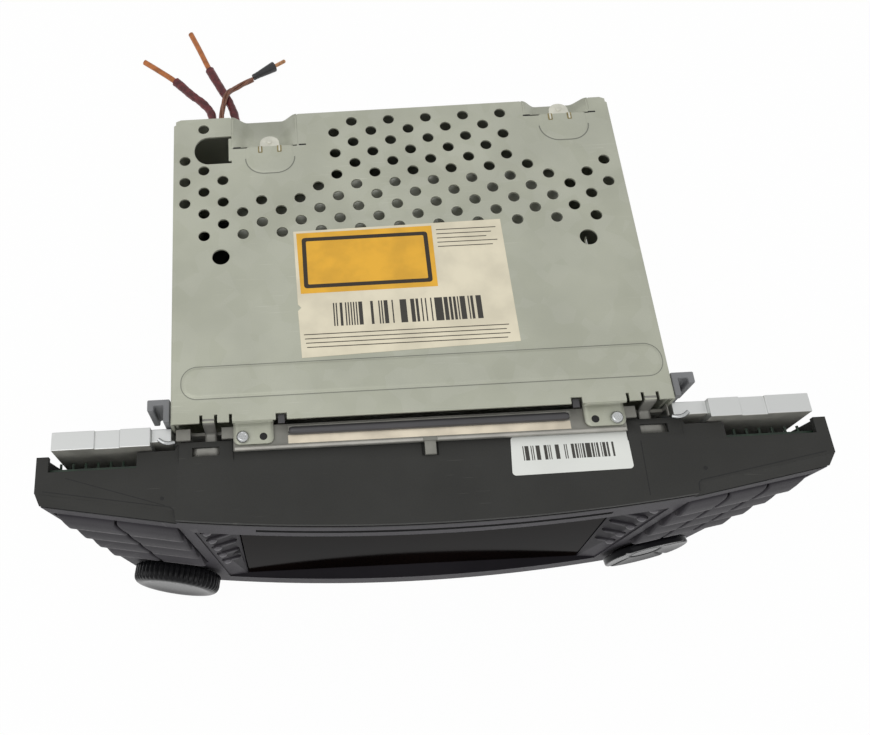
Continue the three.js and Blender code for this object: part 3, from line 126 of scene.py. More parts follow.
def add_node(tree: Tree, kind: str, inputs: dict | None = None, **settings: Any) -> bpy.types.Node:
    """Adds a shader node, sets its properties and fills or links its inputs.

    Args:
        tree: The material's or world's node tree.
        kind: The node's Blender type.
        inputs: Values or sockets by the input's name or number.
        **settings: Properties of the node.

    Returns:
        The new node.
    """
    node = tree.nodes.new(kind)
    for name, value in settings.items():
        setattr(node, name, value)
    for name, value in (inputs or {}).items():
        if isinstance(value, bpy.types.NodeSocket):
            tree.links.new(value, node.inputs[name])
        else:
            node.inputs[name].default_value = value
    return node


def worked_out(tree: Tree, operation: str, *values: Any) -> Socket:
    """Adds a calculation on numbers or sockets and gives its result."""
    return add_node(tree, "ShaderNodeMath", dict(enumerate(values)), operation=operation).outputs["Value"]


@dataclass(frozen=True)
class Finish:
    """A surface's material: its colour, gloss and the fine patterns on it."""

    name: str
    colour: str
    roughness: float = 0.5
    metallic: float = 0.0
    specular: float = 0.5
    mottle: float = 0.06
    mottle_size: float = 30.0
    grain: float = 0.4
    grain_depth: float = 0.01

    def material(self) -> bpy.types.Material:
        """Makes the Blender material once and gives it back."""
        found = bpy.data.materials.get(self.name)
        if found:
            return found
        material = bpy.data.materials.new(self.name)
        material.use_nodes = True
        tree = material.node_tree
        tree.nodes.clear()
        values = {"Metallic": self.metallic, "Specular IOR Level": self.specular}
        shader = add_node(tree, "ShaderNodeBsdfPrincipled", values)
        if self.metallic < 0.5:
            shader.inputs["IOR"].default_value = PLASTIC_IOR
        add_node(tree, "ShaderNodeOutputMaterial", {"Surface": shader.outputs["BSDF"]})
        place = add_node(tree, "ShaderNodeTexCoord").outputs["Object"]
        colour, roughness, height = self.patterns(tree, place)
        tree.links.new(colour, shader.inputs["Base Color"])
        tree.links.new(roughness, shader.inputs["Roughness"])
        bump = add_node(tree, "ShaderNodeBump", {"Height": height, "Distance": self.grain_depth * MM})
        tree.links.new(bump.outputs["Normal"], shader.inputs["Normal"])
        return material

    def noise(self, tree: Tree, place: Socket, size: float) -> Socket:
        """Adds a cloudy pattern with lumps of a size in millimetres."""
        inputs = {"Vector": place, "Scale": per_metre(size), "Detail": 3.0}
        return add_node(tree, "ShaderNodeTexNoise", inputs).outputs["Fac"]

    def ramp(self, tree: Tree, value: Socket, span: Span, result: Span) -> Socket:
        """Adds a smooth range change with clamped ends.

        Args:
            tree: The node tree.
            value: The socket to change.
            span: The values that become the result's first and second one.
            result: The lowest and highest result.

        Returns:
            The result's socket.
        """
        inputs = {"Value": value, "From Min": span[0], "From Max": span[1]}
        inputs |= {"To Min": result[0], "To Max": result[1]}
        return add_node(tree, "ShaderNodeMapRange", inputs, interpolation_type="SMOOTHSTEP").outputs["Result"]

    def blend(self, tree: Tree, share: Socket, first: Any, second: Any) -> Socket:
        """Adds a mix of two colours or colour sockets, by the second one's share."""
        return add_node(tree, "ShaderNodeMix", {0: share, 6: first, 7: second}, data_type="RGBA").outputs[2]

    def mottled(self, tree: Tree, place: Socket) -> Socket:
        """Adds the base colour, a little lighter and darker in slow patches."""
        base = np.array(srgb(self.colour))
        dark, light = base * (1 - 2 * self.mottle), base * (1 + 2 * self.mottle)
        dark[3] = light[3] = 1
        share = self.ramp(tree, self.noise(tree, place, self.mottle_size), (0.3, 0.7), (0.0, 1.0))
        return self.blend(tree, share, tuple(dark), tuple(np.minimum(light, 1)))

    def patterns(self, tree: Tree, place: Socket) -> tuple[Socket, ...]:
        """Adds the patterns of colour, roughness and height.

        Args:
            tree: The node tree.
            place: Socket with the place on the surface.

        Returns:
            The colour's, roughness's and height's sockets.
        """
        fine = self.noise(tree, place, self.grain)
        roughness = self.ramp(tree, fine, (0.3, 0.7), (self.roughness * 0.9, self.roughness * 1.1))
        return self.mottled(tree, place), roughness, fine


@dataclass(frozen=True)
class ScuffedFinish(Finish):
    """A finish with fine handling scratches, which catch the light as thin pale lines."""

    scratch: str = "#C8C8C4"
    scratch_share: float = 0.25
    scratch_length: float = 14.0
    scratch_width: float = 0.5
    scratch_turn: float = 35.0
    scratch_limit: float = 0.68
    scratch_patch: float = 34.0

    def scratches(self, tree: Tree, place: Socket) -> Socket:
        """Adds thin lines: a noise stretched along one turned direction, of which only the peaks stay."""
        turn = (0.0, 0.0, math.radians(self.scratch_turn))
        stretch = [per_metre(size) for size in (self.scratch_length, self.scratch_width, self.scratch_length)]
        mapping = add_node(tree, "ShaderNodeMapping", {"Vector": place, "Rotation": turn, "Scale": stretch})
        inputs = {"Vector": mapping.outputs["Vector"], "Scale": 1.0, "Detail": 1.0}
        peaks = add_node(tree, "ShaderNodeTexNoise", inputs).outputs["Fac"]
        lines = self.ramp(tree, peaks, (self.scratch_limit, self.scratch_limit + 0.06), (0.0, 1.0))
        patches = self.noise(tree, place, self.scratch_patch)
        share = self.ramp(tree, patches, (0.5, 0.62), (0.0, self.scratch_share))
        return worked_out(tree, "MULTIPLY", lines, share)

    def patterns(self, tree: Tree, place: Socket) -> tuple[Socket, ...]:
        """Adds scratches over the plain patterns."""
        colour, roughness, height = super().patterns(tree, place)
        return self.blend(tree, self.scratches(tree, place), colour, srgb(self.scratch)), roughness, height


@dataclass(frozen=True)
class ZincSheet(ScuffedFinish):
    """Hot-dipped zinc on steel sheet: crystals a few millimetres across, each a shade of its own."""

    spangle: float = 7.0
    spangle_share: float = 0.05
    spangle_gloss: float = 0.08

    def patterns(self, tree: Tree, place: Socket) -> tuple[Socket, ...]:
        """Adds crystals over the scuffed patterns, in colour and in gloss."""
        colour, roughness, height = super().patterns(tree, place)
        cells = add_node(tree, "ShaderNodeTexVoronoi", {"Vector": place, "Scale": per_metre(self.spangle)})
        tone = add_node(tree, "ShaderNodeSeparateColor", {"Color": cells.outputs["Color"]}).outputs["Red"]
        share = self.ramp(tree, tone, (0.0, 1.0), (0.0, self.spangle_share))
        dulled = worked_out(tree, "ADD", roughness, worked_out(tree, "MULTIPLY", tone, self.spangle_gloss))
        return self.blend(tree, share, colour, srgb("#FFFFFF")), dulled, height


@dataclass(frozen=True)
class WornPaint(ScuffedFinish):
    """Soft paint on moulded plastic that turns paler towards a point attribute, for rubbing and a painted
    highlight.
    """

    worn: str = "#8C8A8A"
    ragged: float = 1.2

    def patterns(self, tree: Tree, place: Socket) -> tuple[Socket, ...]:
        """Adds the paler colour, for rubbing and a painted highlight, where the point attribute and a fine
        noise are both high.
        """
        colour, roughness, height = super().patterns(tree, place)
        wear = add_node(tree, "ShaderNodeAttribute", attribute_name="wear").outputs["Fac"]
        ragged = self.ramp(tree, self.noise(tree, place, self.ragged), (0.3, 0.62), (0.35, 1.0))
        share = worked_out(tree, "MULTIPLY", wear, ragged)
        return self.blend(tree, share, colour, srgb(self.worn)), roughness, height


@dataclass(frozen=True)
class BarredPaper(Finish):
    """Printed paper with a band of plain bars of mixed widths, which stands for no number or word."""

    band: tuple[float, float, float, float] = (0.0, 1.0, 0.0, 1.0)
    ink: str = "#3A3833"
    bar: float = 0.9

    def patterns(self, tree: Tree, place: Socket) -> tuple[Socket, ...]:
        """Adds bars where a coarse step of X draws a high random number, inside the band only."""
        colour, roughness, height = super().patterns(tree, place)
        parts = add_node(tree, "ShaderNodeSeparateXYZ", {"Vector": place}).outputs
        steps = worked_out(tree, "SNAP", parts["X"], self.bar * MM)
        draw = add_node(tree, "ShaderNodeTexWhiteNoise", {"W": steps}, noise_dimensions="1D").outputs["Value"]
        inside = worked_out(tree, "GREATER_THAN", draw, 0.5)
        for axis, low, high in (("X", *self.band[:2]), ("Y", *self.band[2:])):
            middle, half = (low + high) / 2 * MM, (high - low) / 2 * MM
            within = worked_out(tree, "COMPARE", parts[axis], middle, half)
            inside = worked_out(tree, "MULTIPLY", inside, within)
        return self.blend(tree, inside, colour, srgb(self.ink)), roughness, height


# Zinc gives the cover and tray a dull grey-green cloudiness with pale scuffs
GALVANISED = ZincSheet(
    "galvanised_steel", "#B3B5A5", 0.5, 0.55, mottle=0.03, grain_depth=0.004, scratch="#D8D9CE",
)
# Pressed grooves in the sheet and the ring at the rivet's foot are drawn in a darker zinc: painted shade
GROOVE_SHADE = Finish("shadowed_zinc", "#82847A", 0.55, 0.4, mottle=0.05)
# The riveted ears are freshly plated and pale
EAR = Finish("bright_zinc", "#D6D5C8", 0.4, 0.5, mottle=0.04, mottle_size=3, grain_depth=0.002)
# Cut edges of the lanced tongues have a brass-coloured chromate
BRASSY = Finish("chromated_edge", "#8B7F55", 0.45, 0.4, mottle=0.12, mottle_size=1.5)
# Bare bright metal seen through the vents, smoother than the cover
DRIVE_SHEET = ZincSheet("tinned_steel", "#C9CAC0", 0.34, 0.9, mottle=0.03, grain_depth=0.003)
# Yellow passivated zinc on the front frame, which mirrors the pale room with a gold cast; laid as a pale
# strip on the grey flange, its paleness is also a painted reflection
PASSIVATED = Finish("passivated_steel", "#E4D9C4", 0.36, 0.6, mottle=0.08, mottle_size=14, grain_depth=0.002)
# Hard rolled spring sheet is a duller grey than the zinc beside it
SPRING = Finish("rolled_steel", "#86857F", 0.45, 0.5, mottle=0.06, mottle_size=6, grain_depth=0.003)
# The rolled bar under the cover's edge is painted almost black, as painted shade and dark reflection, with a
# soft sheen along its crest
DARK_FOLD = Finish("blackened_steel", "#454446", 0.38, 0.2, mottle=0.08, grain_depth=0.003)
# A rounded bead along the frame's front is painted paler than the flange: a painted highlight along one line
BEAD = Finish("rolled_bead", "#AFADA6", 0.42, 0.45, mottle=0.05, mottle_size=8, grain_depth=0.003)
# The frame's flange is the same zinc as its bright strip, painted a middle grey for the shade it lies in
LIP = Finish("rolled_zinc_edge", "#84837C", 0.5, 0.3, mottle=0.06, mottle_size=8, grain_depth=0.003)
# Zinc-plated machine screws are the brightest metal on the unit
PLATED = Finish("zinc_plated_steel", "#C4C6C6", 0.26, 0.95, mottle=0.05, grain_depth=0.003)
# Die-cast aluminium keeps the mould's fine sandy skin
CAST = ScuffedFinish(
    "cast_aluminium", "#8B8A83", 0.6, 0.35, mottle=0.09, mottle_size=6, grain=0.7,
    grain_depth=0.05, scratch="#E4E4DE",
)
# Where the casting's top and front are milled they are smoother and paler
MILLED = ScuffedFinish(
    "milled_aluminium", "#A1A098", 0.5, 0.35, mottle=0.08, mottle_size=7, grain=0.6,
    grain_depth=0.03, scratch="#ECECE6",
)
# Black anodising leaves the heat sink dark with a metal's sheen
ANODISED = Finish("black_anodised_aluminium", "#3A3A3C", 0.42, 0.7, grain_depth=0.004)
# Fine spark-eroded grain makes the fascia almost without gloss
FASCIA = ScuffedFinish(
    "grained_abs", "#353533", 0.68, specular=0.22, grain=0.35, grain_depth=0.02, mottle=0.04,
    scratch="#6E6E68", scratch_share=0.22, scratch_limit=0.71,
)
# The bezel's paint is smoother than the housing and a little violet
BEZEL = ScuffedFinish(
    "painted_abs", "#3E3C40", 0.55, specular=0.12, grain=0.3, grain_depth=0.008, mottle=0.04,
    scratch="#6A686A",
)
# The deep display surround is in its own shade and keeps a darker tone
SURROUND = Finish("shaded_abs", "#242226", 0.5, specular=0.1, grain=0.3, grain_depth=0.008)
# Soft paint on the keys turns paler along their noses and lower parts: rubbed paint, and a painted highlight
# where the lower edges catch the light
KEYS = WornPaint(
    "soft_touch_paint", "#343236", 0.5, specular=0.12, grain=0.3, grain_depth=0.006, mottle=0.05,
    scratch="#5E5C5E", worn="#6B696B",
)
# The knob and the rocker are glossier than all round them and nearly black
KNOB = Finish("moulded_black_pbt", "#111113", 0.24, specular=0.16, grain=0.3, grain_depth=0.004, mottle=0.06)
ROCKER = Finish("polished_black_abs", "#0F0F12", 0.2, specular=0.07, grain_depth=0.001, mottle=0.05)
# Nylon catches and housings are even, with a waxy half gloss
HOOK = Finish("grey_nylon", "#77787A", 0.5, grain=0.5, grain_depth=0.01, mottle=0.06)
DARK_PLASTIC = Finish("black_nylon", "#26262A", 0.45, grain=0.4, grain_depth=0.008)
# Bulbs of the soft keys are glossier from fingertips, and their paler colour is a painted highlight
BULB = Finish("rubbed_soft_touch", "#5C5A5E", 0.35, specular=0.2, grain=0.3, grain_depth=0.003, mottle=0.06)
# Tinted acrylic over an unlit display reads as a very dark brown mirror
GLASS = Finish("tinted_acrylic", "#090504", 0.1, specular=0.006, mottle=0.15, grain_depth=0.0005)
# Solder mask over copper tracks is a dark green with slow patches
BOARD = Finish("solder_mask", "#1E3224", 0.45, mottle=0.15, mottle_size=5, grain=1.2, grain_depth=0.03)
# The drive's roller is dull and black
RUBBER = Finish("nitrile_rubber", "#1D1D1F", 0.8, grain_depth=0.01)
# The leads show copper-brown sheath, ruffled dark red shrink tube and three thin strands
SHEATH = Finish("pvc_sheath", "#A8622E", 0.4, mottle=0.12, mottle_size=4, grain_depth=0.01)
SHRINK = Finish("heat_shrink", "#5A1F22", 0.42, mottle=0.2, mottle_size=3, grain=1.4, grain_depth=0.12)
STRANDS = (
    Finish("brown_strand", "#7A4F3C", 0.4, mottle=0.12, mottle_size=4),
    Finish("pink_strand", "#B58373", 0.4, mottle=0.12, mottle_size=4),
    Finish("dark_strand", "#3A2A26", 0.4, mottle=0.12, mottle_size=4),
)
SLEEVE = Finish("shrunk_black_sleeve", "#2A2A2C", 0.36, mottle=0.1, grain=1.0, grain_depth=0.05)
BAND = Finish("sleeve_band", "#A9A9AC", 0.3, 0.7)
COPPER = Finish("tinned_copper", "#B98A66", 0.36, 0.8, mottle=0.15, mottle_size=2)
# Label stock: aged cream paper, warm yellow film with dark ink, and cold white film
PAPER = BarredPaper(
    "aged_label_paper", "#DDD5BD", 0.7, mottle=0.04, mottle_size=12,
    band=(-31.8, 24.5, -31.9, -22.2), bar=0.5,
)
YELLOW = Finish("yellow_label_film", "#E0A92E", 0.5, mottle=0.05, mottle_size=10)
INK = Finish("label_ink", "#2C2417", 0.55)
WHITE_FILM = BarredPaper(
    "white_label_film", "#E2E4DF", 0.4, mottle=0.02, band=(32.0, 66.2, -85.2, -79.8), bar=0.36,
)
# Narrow joints and holes keep their own shade
DIMPLE = Finish("shadowed_dimple", "#151515", 0.7)


# Shapes as arrays


@dataclass
class Shape:
    """Points in millimetres and faces with a finish number each."""

    points: Array
    faces: list[tuple[int, ...]]
    finish_of: list[int] = field(default_factory=list)

    def joined(self, *others: "Shape") -> "Shape":
        """Puts shapes side by side in one mesh."""
        points, faces = [self.points], list(self.faces)
        finishes = list(self.finish_of or [0] * len(self.faces))
        count = len(self.points)
        for other in others:
            points.append(other.points)
            faces += [tuple(k + count for k in face) for face in other.faces]
            finishes += other.finish_of or [0] * len(other.faces)
            count += len(other.points)
        return Shape(np.concatenate(points), faces, finishes)

    def painted(self, number: int) -> "Shape":
        """Gives every face one finish number."""
        return Shape(self.points, self.faces, [number] * len(self.faces))

    def turned_over(self) -> "Shape":
        """Turns every face the other way."""
        return Shape(self.points, [face[::-1] for face in self.faces], self.finish_of)

    def facing_up(self) -> "Shape":
        """Turns every face that looks down, in a shape of flat faces."""
        faces = []
        for face in self.faces:
            a, b, c = (self.points[k] for k in face[:3])
            faces.append(face if np.cross(b - a, c - a)[2] > 0 else face[::-1])
        return Shape(self.points, faces, self.finish_of)

    def mirrored(self, side: Side) -> "Shape":
        """Mirrors the shape to the left, turning its faces so that they still look outwards."""
        if side is Side.RIGHT:
            return self
        return Shape(self.points * (-1, 1, 1), self.faces, self.finish_of).turned_over()


def grid_shape(points: Array, wrap: bool = False, caps: bool = False) -> Shape:
    """Turns a grid of points into quads, with face (r, c) over points (r, c) to (r+1, c+1).

    Args:
        points: Array of rows, columns and three coordinates.
        wrap: Whether the last column joins the first.
        caps: Whether the first and last row are closed by one face each.

    Returns:
        The shape.
    """
    rows, columns = points.shape[:2]
    last = columns if wrap else columns - 1
    r, c = np.meshgrid(np.arange(rows - 1), np.arange(last), indexing="ij")
    right = (c + 1) % columns
    this, following = r * columns, (r + 1) * columns
    quads = np.stack([this + c, this + right, following + right, following + c], -1)
    faces = [tuple(q) for q in quads.reshape(-1, 4).tolist()]
    if caps:
        faces.append(tuple(range(columns))[::-1])
        faces.append(tuple(range((rows - 1) * columns, rows * columns)))
    return Shape(points.reshape(-1, 3), faces)


def strip_over(path: Array, x: Array) -> Shape:
    """Carries columns of X over a path of Y and Z, with one row of X for each of its points."""
    y, z = (np.repeat(path[:, k : k + 1], x.shape[1], 1) for k in (0, 1))
    return grid_shape(np.stack([x, y, z], -1))


def run_along_y(section: Array, ys: Array, x_shift: float = 0.0) -> Array:
    """Grid of a section in X and Z that is carried along Y."""
    x = np.repeat(section[None, :, 0] + x_shift, len(ys), 0)
    z = np.repeat(section[None, :, 1], len(ys), 0)
    return np.stack([x, np.repeat(ys[:, None], len(section), 1), z], -1)


def upright_axes(ahead: Array) -> Array:
    """Rows u, v and w for turning about a level axis: w looks ahead, v up, and u across both."""
    return np.array([np.cross(UP, ahead), UP, ahead])


def turned_shape(
    profile: Sequence[tuple[float, float]], sides: int, origin: Array, axes: Array,
    radius_at: Callable[[Array, Array], Array] | None = None,
) -> Shape:
    """Turns a profile about an axis: point (i, k) = origin + r·cos(a)·u + r·sin(a)·v + h·w.

    Args:
        profile: Pairs of radius and height, from the back face to the front one.
        sides: Points round the axis.
        origin: Where height is zero on the axis.
        axes: Rows u, v and w, with w along the axis.
        radius_at: Optional change of the radius from the grids of radius and angle.

    Returns:
        A closed shape.
    """
    pairs = np.array(profile, float)
    turn = np.linspace(0, 2 * math.pi, sides, endpoint=False)
    radius, angle = np.meshgrid(pairs[:, 0], turn, indexing="ij")
    if radius_at:
        radius = radius_at(radius, angle)
    height = np.repeat(pairs[:, 1:], sides, axis=1)
    across = (radius * np.cos(angle))[..., None] * axes[0]
    above = (radius * np.sin(angle))[..., None] * axes[1]
    return grid_shape(origin + across + above + height[..., None] * axes[2], wrap=True, caps=True)


def slab_shape(front: Array, back: Array) -> Shape:
    """Closes a grid to a solid: walls run from its border to a second grid's border, with one face behind.

    Args:
        front: Grid of the shown surface, rows upwards and columns to the right.
        back: Grid of the same size, of which only the border counts.

    Returns:
        A closed shape, whose doubles at the corners have yet to be merged.
    """
    points = np.pad(front, ((1, 1), (1, 1), (0, 0)), mode="edge")
    behind = np.pad(back, ((1, 1), (1, 1), (0, 0)), mode="edge")
    inner = np.zeros(points.shape[:2], bool)
    inner[1:-1, 1:-1] = True
    shape = grid_shape(np.where(inner[..., None], points, behind))
    rows, columns = points.shape[:2]
    number = np.arange(rows * columns).reshape(rows, columns)
    loop = np.concatenate([number[0, :-1], number[:-1, -1], number[-1, :0:-1], number[:0:-1, 0]])
    return Shape(shape.points, [*shape.faces, tuple(loop[::-1].tolist())])


def ribbon_shape(path: Sequence[tuple[float, float]], width: float, height: float) -> Shape:
    """A flat strip: its two sides stand half the width off the path, at right angles to it.

    Args:
        path: Points of the middle line.
        width: Width of the strip.
        height: Height of the strip.

    Returns:
        An open strip.
    """
    line = np.array(path, float)
    along = np.gradient(line, axis=0)
    along /= np.linalg.norm(along, axis=1)[:, None]
    beside = np.stack([along[:, 1], -along[:, 0]], -1) * width / 2
    sides = np.stack([line + beside, line - beside], 0)
    return grid_shape(np.concatenate([sides, np.full((2, len(line), 1), height)], -1))


def border_steps(length: float, corner: float, middle: int) -> Array:
    """Places along a length that crowd near both ends, for a rounded rim.

    Args:
        length: The length.
        corner: Width of the rim.
        middle: Spans between the rims.

    Returns:
        Rising places from zero to the length.
    """
    rim = corner * (1 - np.cos(np.linspace(0, math.pi / 2, 6)))
    return np.concatenate([rim, np.linspace(corner, length - corner, middle + 1)[1:-1], length - rim[::-1]])


def side_directions(path: Array) -> tuple[Array, Array]:
    """Level directions across a path and those above it, at each of its points."""
    along = np.gradient(path, axis=0)
    along /= np.linalg.norm(along, axis=1)[:, None]
    across = np.cross(along, UP)
    across /= np.linalg.norm(across, axis=1)[:, None]
    return across, np.cross(across, along)


def tube_shape(path: Array, radius: Array | float, sides: int = 12, floor: float | None = None) -> Shape:
    """Carries a circle along a path: the section stands on the path's side and up directions.

    Args:
        path: Points of the centre line.
        radius: One radius, or one for each point.
        sides: Points round the section.
        floor: Lowest height that the tube may reach, where it lies pressed flat.

    Returns:
        A closed tube.
    """
    across, above = side_directions(path)
    angle = np.linspace(0, 2 * math.pi, sides, endpoint=False)[None, :, None]
    size = np.broadcast_to(radius, len(path))[:, None, None]
    points = path[:, None] + size * (np.cos(angle) * across[:, None] + np.sin(angle) * above[:, None])
    if floor is not None:
        points[..., 2] = np.maximum(points[..., 2], floor)
    return grid_shape(points, wrap=True, caps=True).turned_over()


def smooth_path(points: Sequence[Sequence[float]], steps: int = 12) -> Array:
    """Runs a centripetal Catmull-Rom curve through points: each span is the cubic of its ends and tangents.

    Args:
        points: The route's points.
        steps: Points per span.

    Returns:
        The dense centre line.
    """
    given = np.array(points, float)
    ends = np.vstack([2 * given[0] - given[1], given, 2 * given[-1] - given[-2]])
    p0, p1, p2, p3 = ends[:-3], ends[1:-2], ends[2:-1], ends[3:]
    d0, d1, d2 = (np.sqrt(np.linalg.norm(b - a, axis=1))[:, None] for a, b in ((p0, p1), (p1, p2), (p2, p3)))
    start = ((p1 - p0) / d0 - (p2 - p0) / (d0 + d1) + (p2 - p1) / d1) * d1
    finish = ((p2 - p1) / d1 - (p3 - p1) / (d1 + d2) + (p3 - p2) / d2) * d1
    t = np.linspace(0, 1, steps, endpoint=False)[None, :, None]
    powers = (p1, start, 3 * (p2 - p1) - 2 * start - finish, 2 * (p1 - p2) + start + finish)
    a, b, c, d = (x[:, None] for x in powers)
    return np.vstack([(a + b * t + c * t**2 + d * t**3).reshape(-1, 3), given[-1]])


def rounded_ring(x0: float, x1: float, y0: float, y1: float, corner: float, steps: int = 6) -> Array:
    """Outline of a rectangle with round corners, anticlockwise.

    Args:
        x0: Lowest X.
        x1: Highest X.
        y0: Lowest Y.
        y1: Highest Y.
        corner: Radius of the corners.
        steps: Spans in each corner.

    Returns:
        Points of the outline.
    """
    left, right, low, high = x0 + corner, x1 - corner, y0 + corner, y1 - corner
    return rounded_corners(np.array([(right, high), (left, high), (left, low), (right, low)]), corner, steps)


def rounded_corners(centres: Array, corner: float, steps: int, first: int = 0) -> Array:
    """Puts a quarter circle round each of four centres, the first one from a quarter's number."""
    angle = (np.arange(4)[:, None] + first + np.linspace(0, 1, steps + 1)[None]) * math.pi / 2
    return (centres[:, None] + corner * np.stack([np.cos(angle), np.sin(angle)], -1)).reshape(-1, 2)


def circle(x: float, y: float, radius: float, sides: int = 24) -> Array:
    """Outline of a circle."""
    angle = np.linspace(0, 2 * math.pi, sides, endpoint=False)
    return np.stack([x + radius * np.cos(angle), y + radius * np.sin(angle)], -1)


# Meshes and pieces


def plate_mesh(outlines: Sequence[Array], z0: float, z1: float, edge: float) -> bpy.types.Mesh:
    """Fills flat outlines with a Blender curve, gives it thickness and a rolled edge, and makes it a mesh.

    Args:
        outlines: The outer outline first, then the holes.
        z0: Lowest height.
        z1: Highest height.
        edge: Radius of the rolled edge.

    Returns:
        The mesh in metres, with its doubles merged.
    """
    curve = bpy.data.curves.new("plate", "CURVE")
    curve.dimensions, curve.fill_mode = "2D", "BOTH"
    curve.extrude = ((z1 - z0) / 2 - edge) * MM
    curve.bevel_depth, curve.bevel_resolution, curve.offset = edge * MM, 1, -edge * MM
    for outline in outlines:
        spline = curve.splines.new("POLY")
        spline.points.add(len(outline) - 1)
        places = np.column_stack([outline * MM, np.zeros(len(outline)), np.ones(len(outline))])
        spline.points.foreach_set("co", places.ravel())
        spline.use_cyclic_u = True
    holder = bpy.data.objects.new("plate", curve)
    mesh = bpy.data.meshes.new_from_object(holder)
    mesh.transform(Matrix.Translation((0, 0, (z0 + z1) / 2 * MM)))
    bpy.data.objects.remove(holder)
    bpy.data.curves.remove(curve)
    merge_doubles(mesh)
    return mesh


def merge_doubles(mesh: bpy.types.Mesh, flat: bool = False) -> None:
    """Merges points that lie together, and with flat also the faces that lie in one plane."""
    work = bmesh.new()
    work.from_mesh(mesh)
    bmesh.ops.remove_doubles(work, verts=work.verts, dist=MERGE_DISTANCE * MM)
    if flat:
        bmesh.ops.dissolve_limit(work, angle_limit=math.radians(0.3), verts=work.verts, edges=work.edges)
    work.to_mesh(mesh)
    work.free()


def put_mesh(
    name: str, mesh: bpy.types.Mesh, finishes: Finish | Sequence[Finish], body: str = "root",
    stands_for: Sequence[str] = (), crease: float = 35.0, level: bool = False,
) -> Piece:
    """Makes a piece of a mesh: smooth but for its creases, finished, riding on a body.

    Args:
        name: The piece's name.
        mesh: Its mesh, in metres.
        finishes: One finish, or several by number.
        body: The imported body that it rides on.
        stands_for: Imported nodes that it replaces.
        crease: Angle in degrees past which an edge stays sharp.
        level: Whether faces that look straight up or down are shaded flat.

    Returns:
        The piece.
    """
    mesh.name = name
    mesh.materials.clear()
    for finish in [finishes] if isinstance(finishes, Finish) else finishes:
        mesh.materials.append(finish.material())
    mesh.shade_smooth()
    mesh.set_sharp_from_angle(angle=math.radians(crease))
    if level:
        normals = np.empty(3 * len(mesh.polygons))
        mesh.polygons.foreach_get("normal", normals)
        mesh.polygons.foreach_set("use_smooth", np.abs(normals[2::3]) < 0.999)
    piece = bpy.data.objects.new(name, mesh)
    bpy.context.scene.collection.objects.link(piece)
    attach(piece, body)
    if stands_for:
        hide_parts(*stands_for)
    LOG.info("%s rides on %s", name, body)
    return piece


def put_plate(
    name: str, outlines: Sequence[Array], heights: tuple[float, float], edge: float, finish: Finish,
    stands_for: Sequence[str] = (),
) -> Piece:
    """Makes a level plate on the root body from its outlines, its two heights and its edge's radius."""
    return put_mesh(name, plate_mesh(outlines, *heights, edge), finish, stands_for=stands_for, level=True)


def put_shape(
    name: str, shape: Shape, finishes: Finish | Sequence[Finish], body: str = "root",
    stands_for: Sequence[str] = (), crease: float = 35.0, wear: Array | None = None,
) -> Piece:
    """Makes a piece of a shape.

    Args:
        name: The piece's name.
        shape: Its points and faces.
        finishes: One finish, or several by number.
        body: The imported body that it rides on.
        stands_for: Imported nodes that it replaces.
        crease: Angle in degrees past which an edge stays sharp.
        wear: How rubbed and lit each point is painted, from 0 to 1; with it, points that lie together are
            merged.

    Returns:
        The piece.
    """
    mesh = bpy.data.meshes.new(name)
    mesh.from_pydata((shape.points * MM).tolist(), [], shape.faces)
    if shape.finish_of:
        mesh.polygons.foreach_set("material_index", shape.finish_of)
    if wear is not None:
        rubbed = mesh.attributes.new("wear", "FLOAT", "POINT")
        rubbed.data.foreach_set("value", wear.astype(np.float32).ravel())
        merge_doubles(mesh)
    return put_mesh(name, mesh, finishes, body, stands_for, crease)


def put_together(name: str, shapes: Sequence[Shape], *rest: Any, **settings: Any) -> Piece:
    """Makes one piece of several shapes, with what else put_shape takes."""
    return put_shape(name, shapes[0].joined(*shapes[1:]), *rest, **settings)


def refined(
    node: str, finishes: Finish | Sequence[Finish], edge: float = 0.3, crease: float = 30.0,
    pick: Callable[[Array, Array], Array] | None = None,
) -> Piece:
    """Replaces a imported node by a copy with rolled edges.

    Args:
        node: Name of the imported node.
        finishes: Its finish, or several by number.
        edge: Width of the rolled edge in millimetres.
        crease: Angle in degrees from which an edge is rolled.
        pick: Gives each face's finish number from the faces' middles in millimetres and normals.

    Returns:
        The piece.
    """
    source = frame["nodes"][node]
    mesh = source.data.copy()
    merge_doubles(mesh, flat=True)
    piece = put_mesh(f"{node}_formed", mesh, finishes, source["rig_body"], [node], crease)
    if pick:
        middles, normals = np.empty(3 * len(mesh.polygons)), np.empty(3 * len(mesh.polygons))
        mesh.polygons.foreach_get("center", middles)
        mesh.polygons.foreach_get("normal", normals)
        chosen = pick(middles.reshape(-1, 3) / MM, normals.reshape(-1, 3))
        mesh.polygons.foreach_set("material_index", chosen.astype(np.int32))
    bevel = piece.modifiers.new("edge", "BEVEL")
    bevel.width, bevel.segments, bevel.limit_method = edge * MM, 2, "ANGLE"
    bevel.angle_limit = math.radians(crease)
    bevel.use_clamp_overlap = True
    bevel.harden_normals = True
    return piece


def thicken(piece: Piece, thickness: float) -> None:
    """Gives an open surface a sheet's thickness, behind its face."""
    sheet = piece.modifiers.new("sheet", "SOLIDIFY")
    sheet.thickness, sheet.offset = thickness * MM, -1


# The stage


